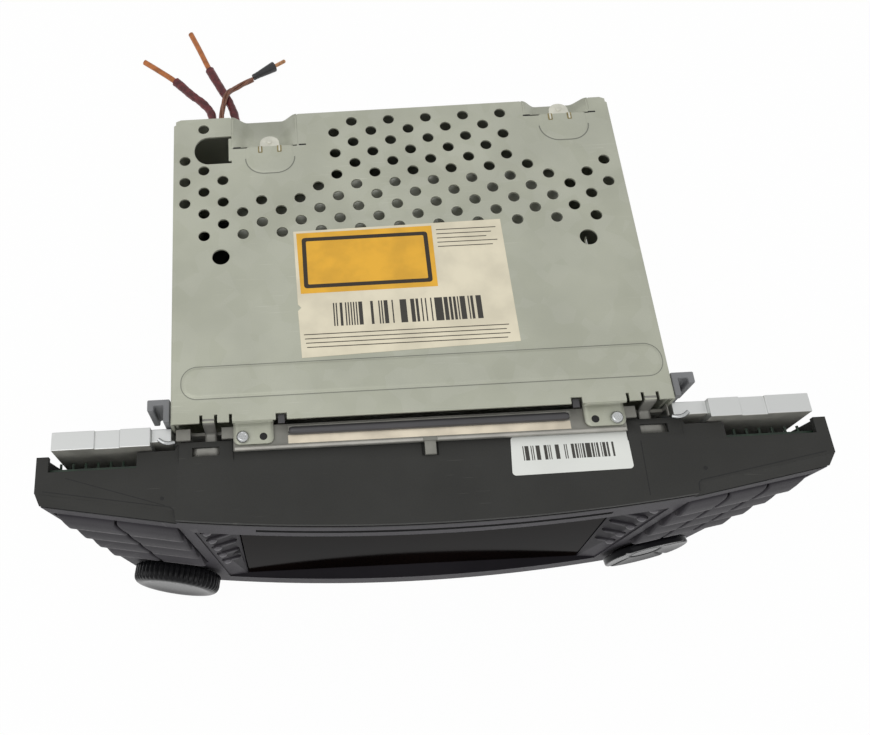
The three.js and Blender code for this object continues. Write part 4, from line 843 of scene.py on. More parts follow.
@dataclass
class Stage:
    """Camera at the photograph's angle, pale floor and soft light."""

    camera_place: tuple[float, float, float] = (-43.434, -180.992, 419.018)
    right: tuple[float, float, float] = (0.998521, -0.04457, -0.03112)
    down: tuple[float, float, float] = (-0.053348, -0.913405, -0.403541)
    forward: tuple[float, float, float] = (-0.010439, 0.404605, -0.914432)
    lens: float = 37.345
    sensor: float = 36.0
    shift: float = 0.16094
    view_range: tuple[float, float] = (10.0, 20000.0)
    floor_half: float = 3000.0
    glow_share: float = 0.97
    world_strength: float = 0.78
    lamps: tuple = (
        ("ceiling_panel", (-650, -420, 1450), 1000, 4.6),
        ("front_panel", (250, -1500, 800), 900, 0.9),
    )

    def camera(self) -> None:
        """Makes the camera from its three directions, which are the rows of its view."""
        data = bpy.data.cameras.new("camera")
        data.lens, data.sensor_width, data.shift_x = self.lens, self.sensor, self.shift
        data.clip_start, data.clip_end = (distance * MM for distance in self.view_range)
        camera = bpy.data.objects.new("camera", data)
        axes = np.array([self.right, np.negative(self.down), np.negative(self.forward)]).T
        matrix = Matrix(axes.tolist()).to_4x4()
        matrix.translation = np.array(self.camera_place) * MM
        camera.matrix_world = matrix
        bpy.context.scene.collection.objects.link(camera)
        bpy.context.scene.camera = camera

    def floor(self) -> None:
        """Makes the floor: white to the eye and to reflections, with the object's soft shadow kept."""
        half = self.floor_half * MM
        mesh = bpy.data.meshes.new("floor")
        corners = [(x, y, 0) for y in (-half, half) for x in (-half, half)]
        mesh.from_pydata(corners, [], [(0, 1, 3, 2)])
        material = bpy.data.materials.new("floor_paper")
        material.use_nodes = True
        tree = material.node_tree
        tree.nodes.clear()
        paper = add_node(tree, "ShaderNodeBsdfDiffuse", {"Color": srgb("#F2F2F0")})
        glow = add_node(tree, "ShaderNodeEmission", {"Color": srgb("#FFFFFF"), "Strength": 1.0})
        rays = add_node(tree, "ShaderNodeLightPath").outputs
        seen = worked_out(tree, "ADD", rays["Is Camera Ray"], rays["Is Glossy Ray"])
        seen = worked_out(tree, "ADD", seen, rays["Is Transmission Ray"])
        share = worked_out(tree, "MULTIPLY", seen, self.glow_share)
        inputs = {0: share, 1: paper.outputs["BSDF"], 2: glow.outputs["Emission"]}
        mixed = add_node(tree, "ShaderNodeMixShader", inputs)
        add_node(tree, "ShaderNodeOutputMaterial", {"Surface": mixed.outputs["Shader"]})
        mesh.materials.append(material)
        floor = bpy.data.objects.new("floor", mesh)
        bpy.context.scene.collection.objects.link(floor)

    def light(self) -> None:
        """Lights the object with a pale world, a large soft lamp above and a weak one in front."""
        world = bpy.data.worlds.new("room")
        world.use_nodes = True
        tree = world.node_tree
        tree.nodes.clear()
        inputs = {"Color": srgb("#FFFFFF"), "Strength": self.world_strength}
        back = add_node(tree, "ShaderNodeBackground", inputs)
        add_node(tree, "ShaderNodeOutputWorld", {"Surface": back.outputs["Background"]})
        bpy.context.scene.world = world
        for name, place, size, power in self.lamps:
            lamp = bpy.data.lights.new(name, "AREA")
            lamp.shape, lamp.size, lamp.energy = "SQUARE", size * MM, power
            holder = bpy.data.objects.new(name, lamp)
            holder.location = np.array(place) * MM
            holder.rotation_mode = "QUATERNION"
            holder.rotation_quaternion = holder.location.to_track_quat("Z", "Y")
            bpy.context.scene.collection.objects.link(holder)

    def build(self) -> None:
        """Makes the camera, floor and lights, and sets the plain view transform."""
        self.camera()
        self.floor()
        self.light()
        bpy.context.scene.view_settings.view_transform = "Standard"


# The leads


@dataclass
class SupplyLeads:
    """Three cut leads that leave the harness plug, sink to the surface and lie on it."""

    left_route: tuple = (
        (-79, 76.85, 30), (-79, 84, 29.6), (-80, 93, 26.5), (-82, 102, 19), (-84.5, 112, 10.5),
        (-86.5, 121.8, 4.6), (-87.5, 132.6, 1.9), (-87.8, 143.3, 1.7), (-88.3, 155.1, 1.7),
        (-89.6, 167.3, 1.7), (-94.3, 174.8, 1.7), (-100.8, 181.3, 1.7), (-110.2, 191.9, 1.7),
        (-121.1, 201.6, 1.7), (-129, 208.2, 1.7),
    )
    right_route: tuple = (
        (-70, 76.85, 30), (-70, 84, 29.6), (-70.3, 93, 26.5), (-71, 102, 19), (-72.3, 112, 10.5),
        (-73.2, 121.8, 4.6), (-73.6, 132.6, 1.9), (-73.8, 143.3, 1.7), (-74.5, 155.1, 1.7),
        (-76.5, 167.1, 1.7), (-79.5, 175.8, 1.7), (-83.1, 183.7, 1.7), (-90.1, 199.2, 1.7),
        (-95.9, 214.4, 1.7), (-101.4, 228.1, 1.7),
    )
    twist_route: tuple = (
        (-74.5, 76.85, 34.5), (-74.5, 84, 34.2), (-75.6, 94, 31.4), (-77.4, 104, 24.5),
        (-79.5, 115, 15), (-81.2, 125.8, 7.2), (-82.7, 136.5, 2.8), (-83.6, 146.3, 1.9),
        (-83.7, 156.1, 1.9), (-83.1, 166.1, 2.6), (-81.3, 173.7, 5.3), (-78, 179.8, 5.2),
        (-73.4, 184.8, 2.6), (-68.9, 188.1, 1.9), (-64.7, 190.6, 1.9),
    )
    wire_radius: float = 1.6
    sleeve_radius: float = 2.35
    sleeve_ends: tuple[float, float] = (192.4, 199.2)
    strand_radius: float = 0.78
    strand_offset: float = 0.88
    strand_turn: float = 46.0
    cap_length: float = 15.0
    cap_narrow: float = 1.8
    cap_wide: float = 3.0
    tip_radius: float = 1.1
    tip_length: float = 7.6
    gap: float = 0.35

    def single(self, side: Side, route: tuple, end: float) -> None:
        """Makes one sheathed lead and the shrunk sleeve over its first stretch.

        Args:
            side: Which of the two leads.
            route: Points of its centre line.
            end: Y where the sleeve ends.
        """
        path = smooth_path(route)
        name = f"lead_{side.word}"
        wire = tube_shape(path, self.wire_radius, 16)
        sheath = put_shape(f"{name}_sheath", wire, SHEATH, stands_for=[name])
        covered = path[path[:, 1] <= end]
        along = np.linspace(0, 1, len(covered))
        ripple = 0.1 * np.sin(along * 70) + 0.08 * np.sin(along * 163)
        swell = np.where(along > 0.95, 0.25, 0.0)
        sleeve = tube_shape(covered, self.sleeve_radius + ripple + swell, 16, floor=0.08)
        piece = put_shape(f"{name}_heat_shrink", sleeve, SHRINK, crease=60)

    def twisted(self) -> None:
        """Makes the twisted lead: three strands wound round its centre line, and the cap on its end."""
        path = smooth_path(self.twist_route)
        run = np.concatenate([[0], np.cumsum(np.linalg.norm(np.diff(path, axis=0), axis=1))])
        across, above = side_directions(path)
        strands = []
        for k in range(len(STRANDS)):
            angle = (2 * math.pi * (run / self.strand_turn + k / len(STRANDS)))[:, None]
            centre = path + self.strand_offset * (np.cos(angle) * across + np.sin(angle) * above)
            strands.append(tube_shape(centre, self.strand_radius, 10, floor=0.05).painted(k))
        lead = put_together("lead_twisted_strands", strands, STRANDS, stands_for=["lead_twisted"])
        cap, tip = self.cap(path)

    def cap(self, path: Array) -> tuple[Piece, Piece]:
        """Makes the sleeve that flares at the lead's end and the bare copper that stands out of it.

        Args:
            path: The twisted lead's centre line.

        Returns:
            The sleeve and the copper tip.
        """
        ahead = path[-1] - path[-2]
        turn = math.atan2(ahead[1], ahead[0])
        axes = upright_axes(np.array([math.cos(turn), math.sin(turn), 0]))
        origin = np.array([path[-1][0], path[-1][1], self.cap_wide])
        n, f, end = self.cap_narrow, self.cap_wide, self.cap_length
        shell = [
            (0.2, self.gap), (n * 0.9, self.gap), (n, self.gap + 0.4), (n * 1.02, 3.2),
            (f * 0.72, 6.0), (f * 0.86, 10.0), (f, end - 0.4), (f * 0.97, end), (f * 0.75, end),
            (f * 0.7, end - 1.2), (0.2, end - 1.4),
        ]
        ring = [(n, 3.0), (n + 0.14, 3.1), (n + 0.14, 3.9), (n, 4.0)]
        parts = [turned_shape(shell, 24, origin, axes), turned_shape(ring, 24, origin, axes).painted(1)]
        cap = put_together("lead_cap_sleeve", parts, (SLEEVE, BAND), stands_for=["lead_cap"])
        r, start, tip_end = self.tip_radius, end - 1.5, end + self.tip_length
        bare = [(0.1, start), (r, start), (r, tip_end - 0.4), (r * 0.7, tip_end), (0.1, tip_end)]
        tip = put_shape("lead_copper_tip", turned_shape(bare, 16, origin, axes), COPPER)
        return cap, tip

    def build(self) -> None:
        """Makes all three leads."""
        self.single(Side.LEFT, self.left_route, self.sleeve_ends[0])
        self.single(Side.RIGHT, self.right_route, self.sleeve_ends[1])
        self.twisted()


# The sheet metal


@dataclass
class TopCover:
    """Vented cover: flat sheet, folded sides, pressed bead and pads, two troughs, tabs and labels."""

    sheet: float = 1.0
    chassis_depth: float = 135.0
    rise: float = 0.5
    film: float = 0.012
    rear_corner: float = 3.0
    vent_radius: float = 2.25
    vent_step: tuple[float, float] = (7.66, 5.17)
    vent_start: tuple[float, float] = (-18.6, 62.1)
    vent_rows: tuple = (
        ((-8, -8), (0, 8)), ((-1, 7),), ((0, 8),), ((-9, -9), (-1, 7)), ((-8, -8), (0, 8)),
        ((-9, -7), (-1, 9), (13, 13)), ((-8, -8), (-2, 12)), ((-9, -7), (-5, 13)), ((-8, 12),),
        ((-7, 11),), ((-8, 12),),
    )
    look_hole: tuple[float, float, float] = (71.0, 0.6, 3.4)
    shift: float = -2.4
    window: tuple[float, float, float, float] = (-83.7, -69.7, 44.45, 57.95)
    window_notch: float = 1.2
    bead: tuple[float, float, float, float] = (-88.4, 85.6, -58.2, -45.8)
    trough_xs: tuple[float, float] = (-54.8, 65.8)
    trough_depths: tuple[float, float] = (15.6, 7.2)
    trough_top: float = 25.5
    trough_floor: float = 13.4
    trough_drop: float = 4.3
    pad_shift: float = 2.0
    pad_half: float = 9.8
    pad_depth: float = 13.2
    ear_shifts: tuple[float, float] = (2.0, 1.0)
    ear_width: float = 3.9
    skirt: float = 9.0
    fold_radius: float = 1.2
    slits: tuple = ((50.6, 54.6, 2.4), (70.2, 71.3, 3.0), (75.5, 76.6, 3.0), (80.8, 81.9, 3.0))
    latch_xs: tuple[float, float] = (51.4, 53.9)
    tab_xs: tuple[float, float] = (55.7, 70.2)
    tab_foot: float = -74.7
    tab_corner: float = 2.2
    tab_drop: float = 4.5
    tab_screw_y: float = -72.1
    spare_x: float = 59.4
    strap_foot: float = -78.1
    strap_z: float = 109.2
    strap_xs: tuple = ((74.9, 85.5), (76.6, 80.8))
    paper: tuple = (
        (-44.1, -44.2), (36.3, -42.0), (35.8, 10.8), (-45.0, 10.1), (-44.6, -22.0), (-43.4, -23.5),
        (-44.7, -24.8), (-44.5, -31.0),
    )
    film_outline: tuple = ((-43.3, -17.6), (8.6, -17.4), (8.8, 9.4), (-43.9, 9.1))

    def __post_init__(self) -> None:
        """Reads the cover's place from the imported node."""
        low, high = node_box("top_cover")
        self.left, self.right = low[0], high[0]
        self.top = high[2] - self.rise
        self.back = high[1]
        self.front = self.back - self.chassis_depth

    def edge_outline(self) -> Array:
        """Outline of the flat sheet: slits in front, troughs let into the back, round rear corners."""
        front = [(self.left, self.front)]
        slits = [(s * a, s * b, d) for s in (-1, 1) for a, b, d in self.slits]
        for a, b, depth in sorted((min(a, b), max(a, b), d) for a, b, d in slits):
            front += [(a, self.front), (a, self.front + depth), (b, self.front + depth), (b, self.front)]
        front.append((self.right, self.front))
        r, end = self.rear_corner, self.back
        back = [(self.right, end - r), (self.right - 0.3 * r, end - 0.3 * r), (self.right - r, end)]
        half = self.trough_top / 2
        for x, depth in sorted(zip(self.trough_xs, self.trough_depths), reverse=True):
            back += [(x + half + 1.4, end), (x + half, end - 1.2), (x + half, end - depth)]
            back += [(x - half, end - depth), (x - half, end - 1.2), (x - half - 1.4, end)]
        back += [(self.left + r, end), (self.left + 0.3 * r, end - 0.3 * r), (self.left, end - r)]
        return np.array(front + back)

    def window_outline(self) -> Array:
        """Outline of the window: round on its left, straight on its right with a notch at each end."""
        x0, x1, y0, y1 = self.window
        radius = (y1 - y0) / 2
        angle = np.linspace(math.pi / 2, 1.5 * math.pi, 15)
        corner = radius * 0.86
        left = np.stack([x0 + corner + corner * np.cos(angle), (y0 + y1) / 2 + radius * np.sin(angle)], -1)
        n = self.window_notch
        right = [(x1 + n, y0), (x1 + n, y0 + n), (x1, y0 + n), (x1, y1 - n), (x1 + n, y1 - n), (x1 + n, y1)]
        return np.vstack([left, right])

    def holes(self) -> list[Array]:
        """Outlines of the vents, look holes and window."""
        found = []
        for row, runs in enumerate(self.vent_rows):
            for first, last in runs:
                for column in range(first, last + 1, 2):
                    x = self.vent_start[0] + column * self.vent_step[0]
                    y = self.vent_start[1] - row * self.vent_step[1]
                    found.append(circle(x, y, self.vent_radius))
        x, y, radius = self.look_hole
        found += [circle(self.shift + s * x, y, radius, 32) for s in (-1, 1)]
        return [*found, self.window_outline()]

    def pressed(self, box: Sequence[float], corner: float, flank: float, rise: float) -> Shape:
        """A pressed panel: height rises as a smooth step of the distance inside a round-cornered rectangle.

        Args:
            box: The rectangle's lowest and highest X, then its lowest and highest Y.
            corner: Its corner radius.
            flank: Width of the slope.
            rise: How far it stands up.

        Returns:
            An open grid whose border lies just under the sheet's top.
        """
        x0, x1, y0, y1 = box
        margin, sunk = 0.6, 0.06
        left = np.linspace(x0 - margin, x0 + 2 * corner, 26)
        right = np.linspace(x1 - 2 * corner, x1 + margin, 26)
        xs = np.unique(np.concatenate([left, np.linspace(x0, x1, 30), right]))
        x, y = np.meshgrid(xs, np.linspace(y0 - margin, y1 + margin, 44))
        dx = np.abs(x - (x0 + x1) / 2) - (x1 - x0) / 2 + corner
        dy = np.abs(y - (y0 + y1) / 2) - (y1 - y0) / 2 + corner
        outside = np.hypot(np.maximum(dx, 0), np.maximum(dy, 0)) + np.minimum(np.maximum(dx, dy), 0) - corner
        share = np.clip(-outside / flank, 0, 1)
        lift = share * share * (3 - 2 * share)
        return grid_shape(np.stack([x, y, self.top - sunk + (sunk + rise) * lift], -1))

    def trough(self, x: float, depth: float) -> Shape:
        """A bent-down trough: its section falls as a smooth step to a flat floor, carried from the back edge.

        Args:
            x: Its middle.
            depth: How far it runs in from the back edge.

        Returns:
            An open grid along the top surface, with its front wall.
        """
        half, floor = self.trough_top / 2 + 0.9, self.trough_floor / 2
        share = np.linspace(0, 1, 15)
        step = np.clip((share - 0.04) / 0.92, 0, 1)
        fall = step * step * (3 - 2 * step)
        flank = np.stack([half - (half - floor) * share, self.top + self.film - self.trough_drop * fall], -1)
        section = np.vstack([flank, [(0, self.top - self.trough_drop)], flank[::-1] * (-1, 1)])
        start = self.back - depth
        run = grid_shape(run_along_y(section, np.array([self.back, start + 0.5, start]), x))
        rows = np.linspace(0, 1, 5)[:, None]
        inner = section[1:-1]
        wall_x = np.repeat(inner[None, :, 0] + x, 5, 0)
        wall_z = inner[None, :, 1] + (self.top - inner[None, :, 1]) * rows
        return run.joined(grid_shape(np.stack([wall_x, np.full(wall_x.shape, start), wall_z], -1)))

    def ear(self, number: int, x: float, start: float) -> None:
        """Makes the round ear before a trough, with its rivet, two lanced tongues and two relief cuts.

        Args:
            number: 1 or 2, for the pieces' names.
            x: Its middle.
            start: Y of the trough's front wall.
        """
        top, width = self.top, self.ear_width
        angle = np.linspace(0, math.pi, 17)
        arc = np.stack([x + width * np.cos(angle), start + 1.6 + 3.2 * np.sin(angle)], -1)
        outline = np.vstack([[(x + width + 0.3, start - 0.6)], arc, [(x - width - 0.3, start - 0.6)]])
        put_plate(f"cover_ear_{number}", [outline], (top - self.sheet, top + 0.1), 0.15, EAR)
        seat = np.array([x, start + 1.9, top])
        head = [(0.1, 0.1), (1.05, 0.1), (1.0, 0.42), (0.7, 0.6), (0.1, 0.66)]
        ring = [(0.1, 0.0), (1.75, 0.0), (1.75, 0.14), (0.1, 0.14)]
        rivet = turned_shape(head, 28, seat, np.eye(3)).painted(0)
        # The dark ring round the rivet's foot is painted shade
        dark = turned_shape(ring, 28, seat, np.eye(3)).painted(1)
        put_together(f"cover_rivet_{number}", [rivet, dark], (EAR, GROOVE_SHADE), crease=50)
        for k, s in enumerate((-1, 1), 1):
            at, cut = x + s * width, x + s * 13.4
            slot = rounded_ring(at - 0.9, at + 0.9, start - 3.3, start - 0.1, 0.3, 3)
            put_plate(f"cover_lance_slot_{number}_{k}", [slot], (top + 0.1, top + 0.3), 0.02, BRASSY)
            tongue = rounded_ring(at - 0.35, at + 0.35, start - 3.0, start - 0.3, 0.2, 3)
            put_plate(f"cover_lance_{number}_{k}", [tongue], (top + 0.25, top + 0.5), 0.05, EAR)
            relief = rounded_ring(cut - 1.5, cut + 1.5, start - 0.5, start + 0.2, 0.2, 3)
            put_plate(f"cover_relief_{number}_{k}", [relief], (top - 0.1, top + 0.04), 0.02, DIMPLE)

    def side_fold(self, side: Side) -> Shape:
        """A folded side: the edge turned down through a quarter circle, carried along the chassis."""
        x_edge = self.left if side is Side.LEFT else self.right
        outward, r, top = side.value, self.fold_radius, self.top
        angle = np.linspace(0, math.pi / 2, 7)
        bend = np.stack([x_edge - outward * r + outward * r * np.sin(angle), top - r + r * np.cos(angle)], -1)
        inner, inside = x_edge - outward * 2.4, x_edge - outward * self.sheet
        low = top - self.skirt
        under = [(x_edge, low), (inside, low), (inside, top - r), (inner, top - self.sheet)]
        section = np.vstack([[(inner, top + self.film)], bend + (0, self.film), under])
        ys = np.linspace(self.front, self.back - 2.6, 12)
        shape = grid_shape(run_along_y(section, ys), wrap=True, caps=True)
        return shape if side is Side.RIGHT else shape.turned_over()

    def tab(self, side: Side) -> None:
        """Makes a tab with round foot corners, its rolled edge, the latch and the spare hole."""
        (x0, x1), foot, corner, front = self.tab_xs, self.tab_foot, self.tab_corner, self.front
        low, film_top = self.top - self.tab_drop, self.top + 0.014
        end = np.linspace(0, 1, 7) * math.pi / 2
        tip = np.stack([foot + corner * (1 - np.cos(end)), np.full(7, low)], -1)
        rise = [(front + 0.4, low), (front + 0.9, low + 0.1), (front + 1.2, low + 0.5)]
        rise.append((front + 1.3, self.top - 1.2))
        inset = np.concatenate([corner * (1 - np.sin(end)), np.zeros(len(rise))])
        x = (x0 + inset)[:, None] + (x1 - x0 - 2 * inset)[:, None] * np.linspace(0, 1, 9)
        shape = strip_over(np.vstack([tip, rise]), x).mirrored(side)
        piece = put_shape(f"cover_tab_{side.word}", shape, GALVANISED, crease=50)
        thicken(piece, self.sheet)
        angle = np.linspace(0, math.pi / 2, 6)
        rolled = np.stack([front + 1.0 - 1.3 * np.sin(angle), film_top - 1.3 * (1 - np.cos(angle))], -1)
        rolled = np.vstack([[(front + 2.2, film_top)], rolled])[::-1]
        strip = strip_over(rolled, np.repeat(np.linspace(x0, x1, 3)[None], len(rolled), 0))
        put_shape(f"cover_edge_{side.word}", strip.mirrored(side), GALVANISED, crease=60)
        # The latch under the cover's edge takes the bar's near-black finish: painted shade
        latch = rounded_ring(*sorted(side.value * x for x in self.latch_xs), front - 0.9, front + 2.5, 0.3, 3)
        put_plate(f"cover_latch_{side.word}", [latch], (self.top - 2.3, self.top - 1.5), 0.2, DARK_FOLD)
        hole = circle(side.value * self.spare_x, self.tab_screw_y, 1.4, 24)
        put_plate(f"cover_tab_hole_{side.word}", [hole], (low - 0.1, low + 0.03), 0.01, DIMPLE)

    def strap(self, side: Side) -> None:
        """Makes a strap that drops behind the frame and ends in a wider foot under the fascia's hood."""
        front, top, z = self.front, self.top, self.strap_z
        path = np.array([
            (self.strap_foot, z), (-72.6, z), (-72.0, z), (front - 1.9, z), (front - 1.2, z + 0.3),
            (front - 0.9, z + 1.2), (front - 0.5, top - 1.2), (front, top - 0.3),
            (front + 0.6, top + 0.02), (front + 1.4, top + 0.02),
        ])
        wide, narrow = np.array(self.strap_xs)
        ends = np.where(np.arange(len(path))[:, None] < 2, wide, narrow)
        x = ends[:, :1] + (ends[:, 1:] - ends[:, :1]) * np.linspace(0, 1, 5)
        piece = put_shape(f"cover_strap_{side.word}", strip_over(path, x).mirrored(side), SPRING, crease=50)
        thicken(piece, self.sheet)

    def label(self) -> None:
        """Makes the torn paper label, the yellow film on it, the film's border and plain rules."""
        top = self.top
        put_plate("cover_label_paper", [np.array(self.paper)], (top, top + 0.12), 0.02, PAPER)
        put_plate("cover_label_film", [np.array(self.film_outline)], (top + 0.1, top + 0.18), 0.01, YELLOW)
        border = [rounded_ring(-41.9, 6.9, -15.4, 6.9, 1.2, 3), rounded_ring(-40.3, 5.3, -13.8, 5.3, 0.5, 3)]
        put_plate("cover_label_border", border, (top + 0.16, top + 0.21), 0.01, INK)
        rules = [(-43.0 + 0.3 * k, 33.0 - 1.1 * (k % 2), -34.9 - 1.75 * k) for k in range(4)]
        rules += [(10.4, 33.6 - 2.0 * (k % 3), 7.4 - 1.9 * k) for k in range(5)]
        shapes = []
        for x0, x1, y in rules:
            s = rounded_ring(x0, x1, y - 0.22, y + 0.22, 0.1, 1)
            corners = np.array([[(*s[4], 0), (*s[6], 0)], [(*s[2], 0), (*s[0], 0)]], float)
            shapes.append(grid_shape(corners + (0, 0, top + 0.14)))
        put_together("cover_label_rules", shapes, INK)

    def pad(self, number: int, x: float, start: float) -> None:
        """Makes the low pad before a trough and the darker ribbon of painted shade round it, cut off at the
        trough's wall.
        """
        half, deep = self.pad_half, self.pad_depth
        pad = self.pressed((x - half, x + half, start - deep, start + 5), 7.5, 0.8, 0.2)
        keep = pad.points[:, 1] < start - 0.05
        faces = [face for face in pad.faces if all(keep[k] for k in face)]
        put_shape(f"cover_pad_{number}", Shape(pad.points, faces), GALVANISED, crease=80)
        # The darker ribbon round the pad is painted shade along its pressed edge
        ring = rounded_ring(x - half - 0.2, x + half + 0.2, start - deep - 0.2, start + 12, 7.6, 10)
        groove = np.roll(ring, -22, axis=0)
        groove = groove[groove[:, 1] < start + 0.3]
        strip = ribbon_shape(groove, 0.5, self.top + 0.03).facing_up()
        put_shape(f"cover_pad_groove_{number}", strip, GROOVE_SHADE)

    def build(self) -> None:
        """Makes the sheet, its folds, pressings, troughs, ears, tabs, straps and label."""
        inset = self.edge_outline()
        inset[:, 0] = np.clip(inset[:, 0], self.left + 1.0, self.right - 1.0)
        heights = (self.top - self.sheet, self.top)
        cover = put_plate("cover_sheet", [inset, *self.holes()], heights, 0.12, GALVANISED, ["top_cover"])
        for side in Side:
            piece = put_shape(f"cover_fold_{side.word}", self.side_fold(side), GALVANISED)
        put_shape("cover_bead", self.pressed(self.bead, 5.7, 1.1, self.rise), GALVANISED, crease=80)
        x0, x1, y0, y1 = self.bead
        # The darker ribbon round the bead's foot is painted shade
        foot = rounded_ring(x0 - 0.2, x1 + 0.2, y0 - 0.2, y1 + 0.2, 5.9, 10)
        foot = np.vstack([foot, foot[:1]])
        put_shape("cover_bead_groove", ribbon_shape(foot, 0.35, self.top + 0.025).facing_up(), GROOVE_SHADE)
        for k, (x, depth) in enumerate(zip(self.trough_xs, self.trough_depths), 1):
            start = self.back - depth
            thicken(put_shape(f"cover_trough_{k}", self.trough(x, depth), GALVANISED, crease=40), 0.6)
            self.pad(k, x + self.pad_shift, start)
            self.ear(k, x + self.ear_shifts[k - 1], start)
        for side in Side:
            self.tab(side)
            self.strap(side)
        self.label()


@dataclass
class CoverScrews:
    """Two pan-head screws with six-lobed sockets that hold the cover's tabs."""

    head: float = 2.3
    head_height: float = 1.8
    shank: float = 1.3
    socket: float = 1.15
    lobes: int = 6
    lobe_depth: float = 0.16

    def socket_radius(self, radius: Array, angle: Array) -> Array:
        """Radius with the socket's lobes: r·(1 + depth·cos(n·a)) inside the socket."""
        lobed = radius * (1 + self.lobe_depth * np.cos(self.lobes * angle))
        return np.where(radius < self.socket + 0.02, lobed, radius)

    def build(self) -> None:
        """Makes both screws."""
        for side in Side:
            node = f"cover_screw_{side.word}"
            low, high = node_box(node)
            top, seat = high[2], high[2] - self.head_height
            r, shank, socket = self.head, self.shank, self.socket
            head = [
                (0.1, low[2]), (shank, low[2]), (shank, seat), (r - 0.1, seat), (r, seat + 0.2),
                (r, seat + 0.7), (r - 0.25, top - 0.35), (1.6, top), (socket + 0.15, top),
                (socket, top - 0.12), (0.1, top - 0.14),
            ]
            star = [
                (0.1, top - 0.2), (socket, top - 0.2), (socket - 0.05, top - 0.03), (0.45, top - 0.03),
                (0.4, top - 0.08), (0.1, top - 0.08),
            ]
            middle = (low + high) / 2
            origin = np.array([middle[0], middle[1], 0.0])
            parts = [turned_shape(half, 48, origin, np.eye(3), self.socket_radius) for half in (head, star)]
            parts[1] = parts[1].painted(1)
            piece = put_together(f"{node}_turned", parts, (PLATED, DIMPLE), stands_for=[node], crease=40)


@dataclass
class FrontFrame:
    """Frame behind the fascia: a grey flange with a dark bar, a bright strip and a pale bead."""

    bar_half: float = 50.6
    bar_radius: float = 1.5
    bar_reach: float = 2.9
    bar_lift: float = 0.8
    strip_reach: float = 5.9
    strip_width: float = 3.1
    bead_reach: float = 8.55
    bead_radius: float = 0.75
    bead_lift: float = 0.15
    bead_xs: tuple[float, float] = (2.6, 69.8)
    flange_top: float = 112.5

    def level_path(self, x: Array, reach: float, lift: float) -> Array:
        """A straight centre line at a reach before the chassis and a lift above the flange."""
        y, z = CHASSIS_FRONT - reach, self.flange_top + lift
        return np.stack([x, np.full(len(x), y), np.full(len(x), z)], -1)

    def build(self) -> None:
        """Makes the frame, the dark bar, the bright strip and the grey bead along its front."""
        # The flange's middle grey is painted shade
        refined("front_frame", LIP, 0.3)
        steps = np.concatenate([[0, 0.25, 0.7, 1.3], np.linspace(2, 38, 19), [38.7, 39.3, 39.75, 40]]) / 40
        along = (2 * steps - 1) * self.bar_half
        inside = np.minimum(steps, 1 - steps) * 2 * self.bar_half / self.bar_radius
        ends = np.sqrt(1 - (1 - np.clip(inside, 0.02, 1)) ** 2)
        # The bar's near black is painted shade and dark reflection
        bar = tube_shape(self.level_path(along, self.bar_reach, self.bar_lift), self.bar_radius * ends, 18)
        put_shape("front_frame_bar", bar, DARK_FOLD, crease=60)
        # The pale strip on the flange is a painted reflection, in the frame's passivated zinc
        strip = self.level_path(along, self.strip_reach, 0.0)[:, :2]
        shape = ribbon_shape(strip, self.strip_width, self.flange_top + 0.04).facing_up()
        put_shape("front_frame_strip", shape, PASSIVATED)
        # Each bead's paler grey is a painted highlight
        for side in Side:
            x = np.linspace(*sorted(side.value * x for x in self.bead_xs), 16)
            bead = tube_shape(self.level_path(x, self.bead_reach, self.bead_lift), self.bead_radius, 12)
            put_shape(f"front_frame_bead_{side.word}", bead, BEAD, crease=60)


@dataclass
class SideFixings:
    """Cast arms behind the fascia's ears and the nylon catches on the chassis sides."""

    clip_radius: float = 0.75
    clip: tuple = ((-1.2, -72.4, 113.0), (0.8, -72.9, 113.6), (2.6, -72.6, 113.9), (4.4, -71.4, 114.0))

    def ledge(self, middles: Array, normals: Array) -> Array:
        """Finish numbers: the machined faces that look forward are paler than the cast skin."""
        return np.where((normals[:, 1] < -0.9) | (normals[:, 2] > 0.95) & (middles[:, 1] < -70.5), 1, 0)

    def build(self) -> None:
        """Makes both arms, both catches and the wire clips at the arms' inner ends."""
        for side in Side:
            refined(f"side_arm_{side.word}", (CAST, MILLED), 0.7, pick=self.ledge)
            refined(f"side_hook_{side.word}", HOOK, 0.5)
            low, high = node_box(f"side_arm_{side.word}")
            inner = low[0] if side is Side.RIGHT else high[0]
            path = smooth_path([(inner + side.value * x, y, z) for x, y, z in self.clip], 6)
            put_shape(f"side_clip_{side.word}", tube_shape(path, self.clip_radius, 10), PLATED, crease=60)


# The fascia


@dataclass(frozen=True)
class FaceForm:
    """The curved face of the fascia, from which its keys, marks and seams take their places."""

    centre_reach: float = 38.0
    step_reach: float = 32.6
    corner_reach: float = 24.0
    step_half: float = 91.5
    corner_run: float = 49.0
    height: float = 110.0
    foot_half: float = 122.5
    widening: float = 19.5
    foot_inner: float = 84.0
    inner_widening: float = 7.5

    def reach(self, x: Array | float) -> Array:
        """How far the face stands out: a parabola in the middle and a straight slant outside."""
        far = np.abs(x)
        near = self.centre_reach - (self.centre_reach - self.step_reach) * (far / self.step_half) ** 2
        slant = (self.corner_reach - self.step_reach) * (far - self.step_half) / self.corner_run
        return np.where(far <= self.step_half, near, self.step_reach + slant)

    def y(self, x: Array | float, proud: Array | float = 0.0) -> Array:
        """Y of a point that stands proud of the face."""
        return CHASSIS_FRONT - self.reach(x) - proud

    def half_width(self, z: Array | float) -> Array | float:
        """Half the fascia's width, which grows with the height."""
        return self.foot_half + self.widening * np.asarray(z) / self.height

    def block_inner(self, z: Array | float) -> Array | float:
        """Where a key block starts, as a distance from the middle."""
        return self.foot_inner + self.inner_widening * np.asarray(z) / self.height


FACE = FaceForm()


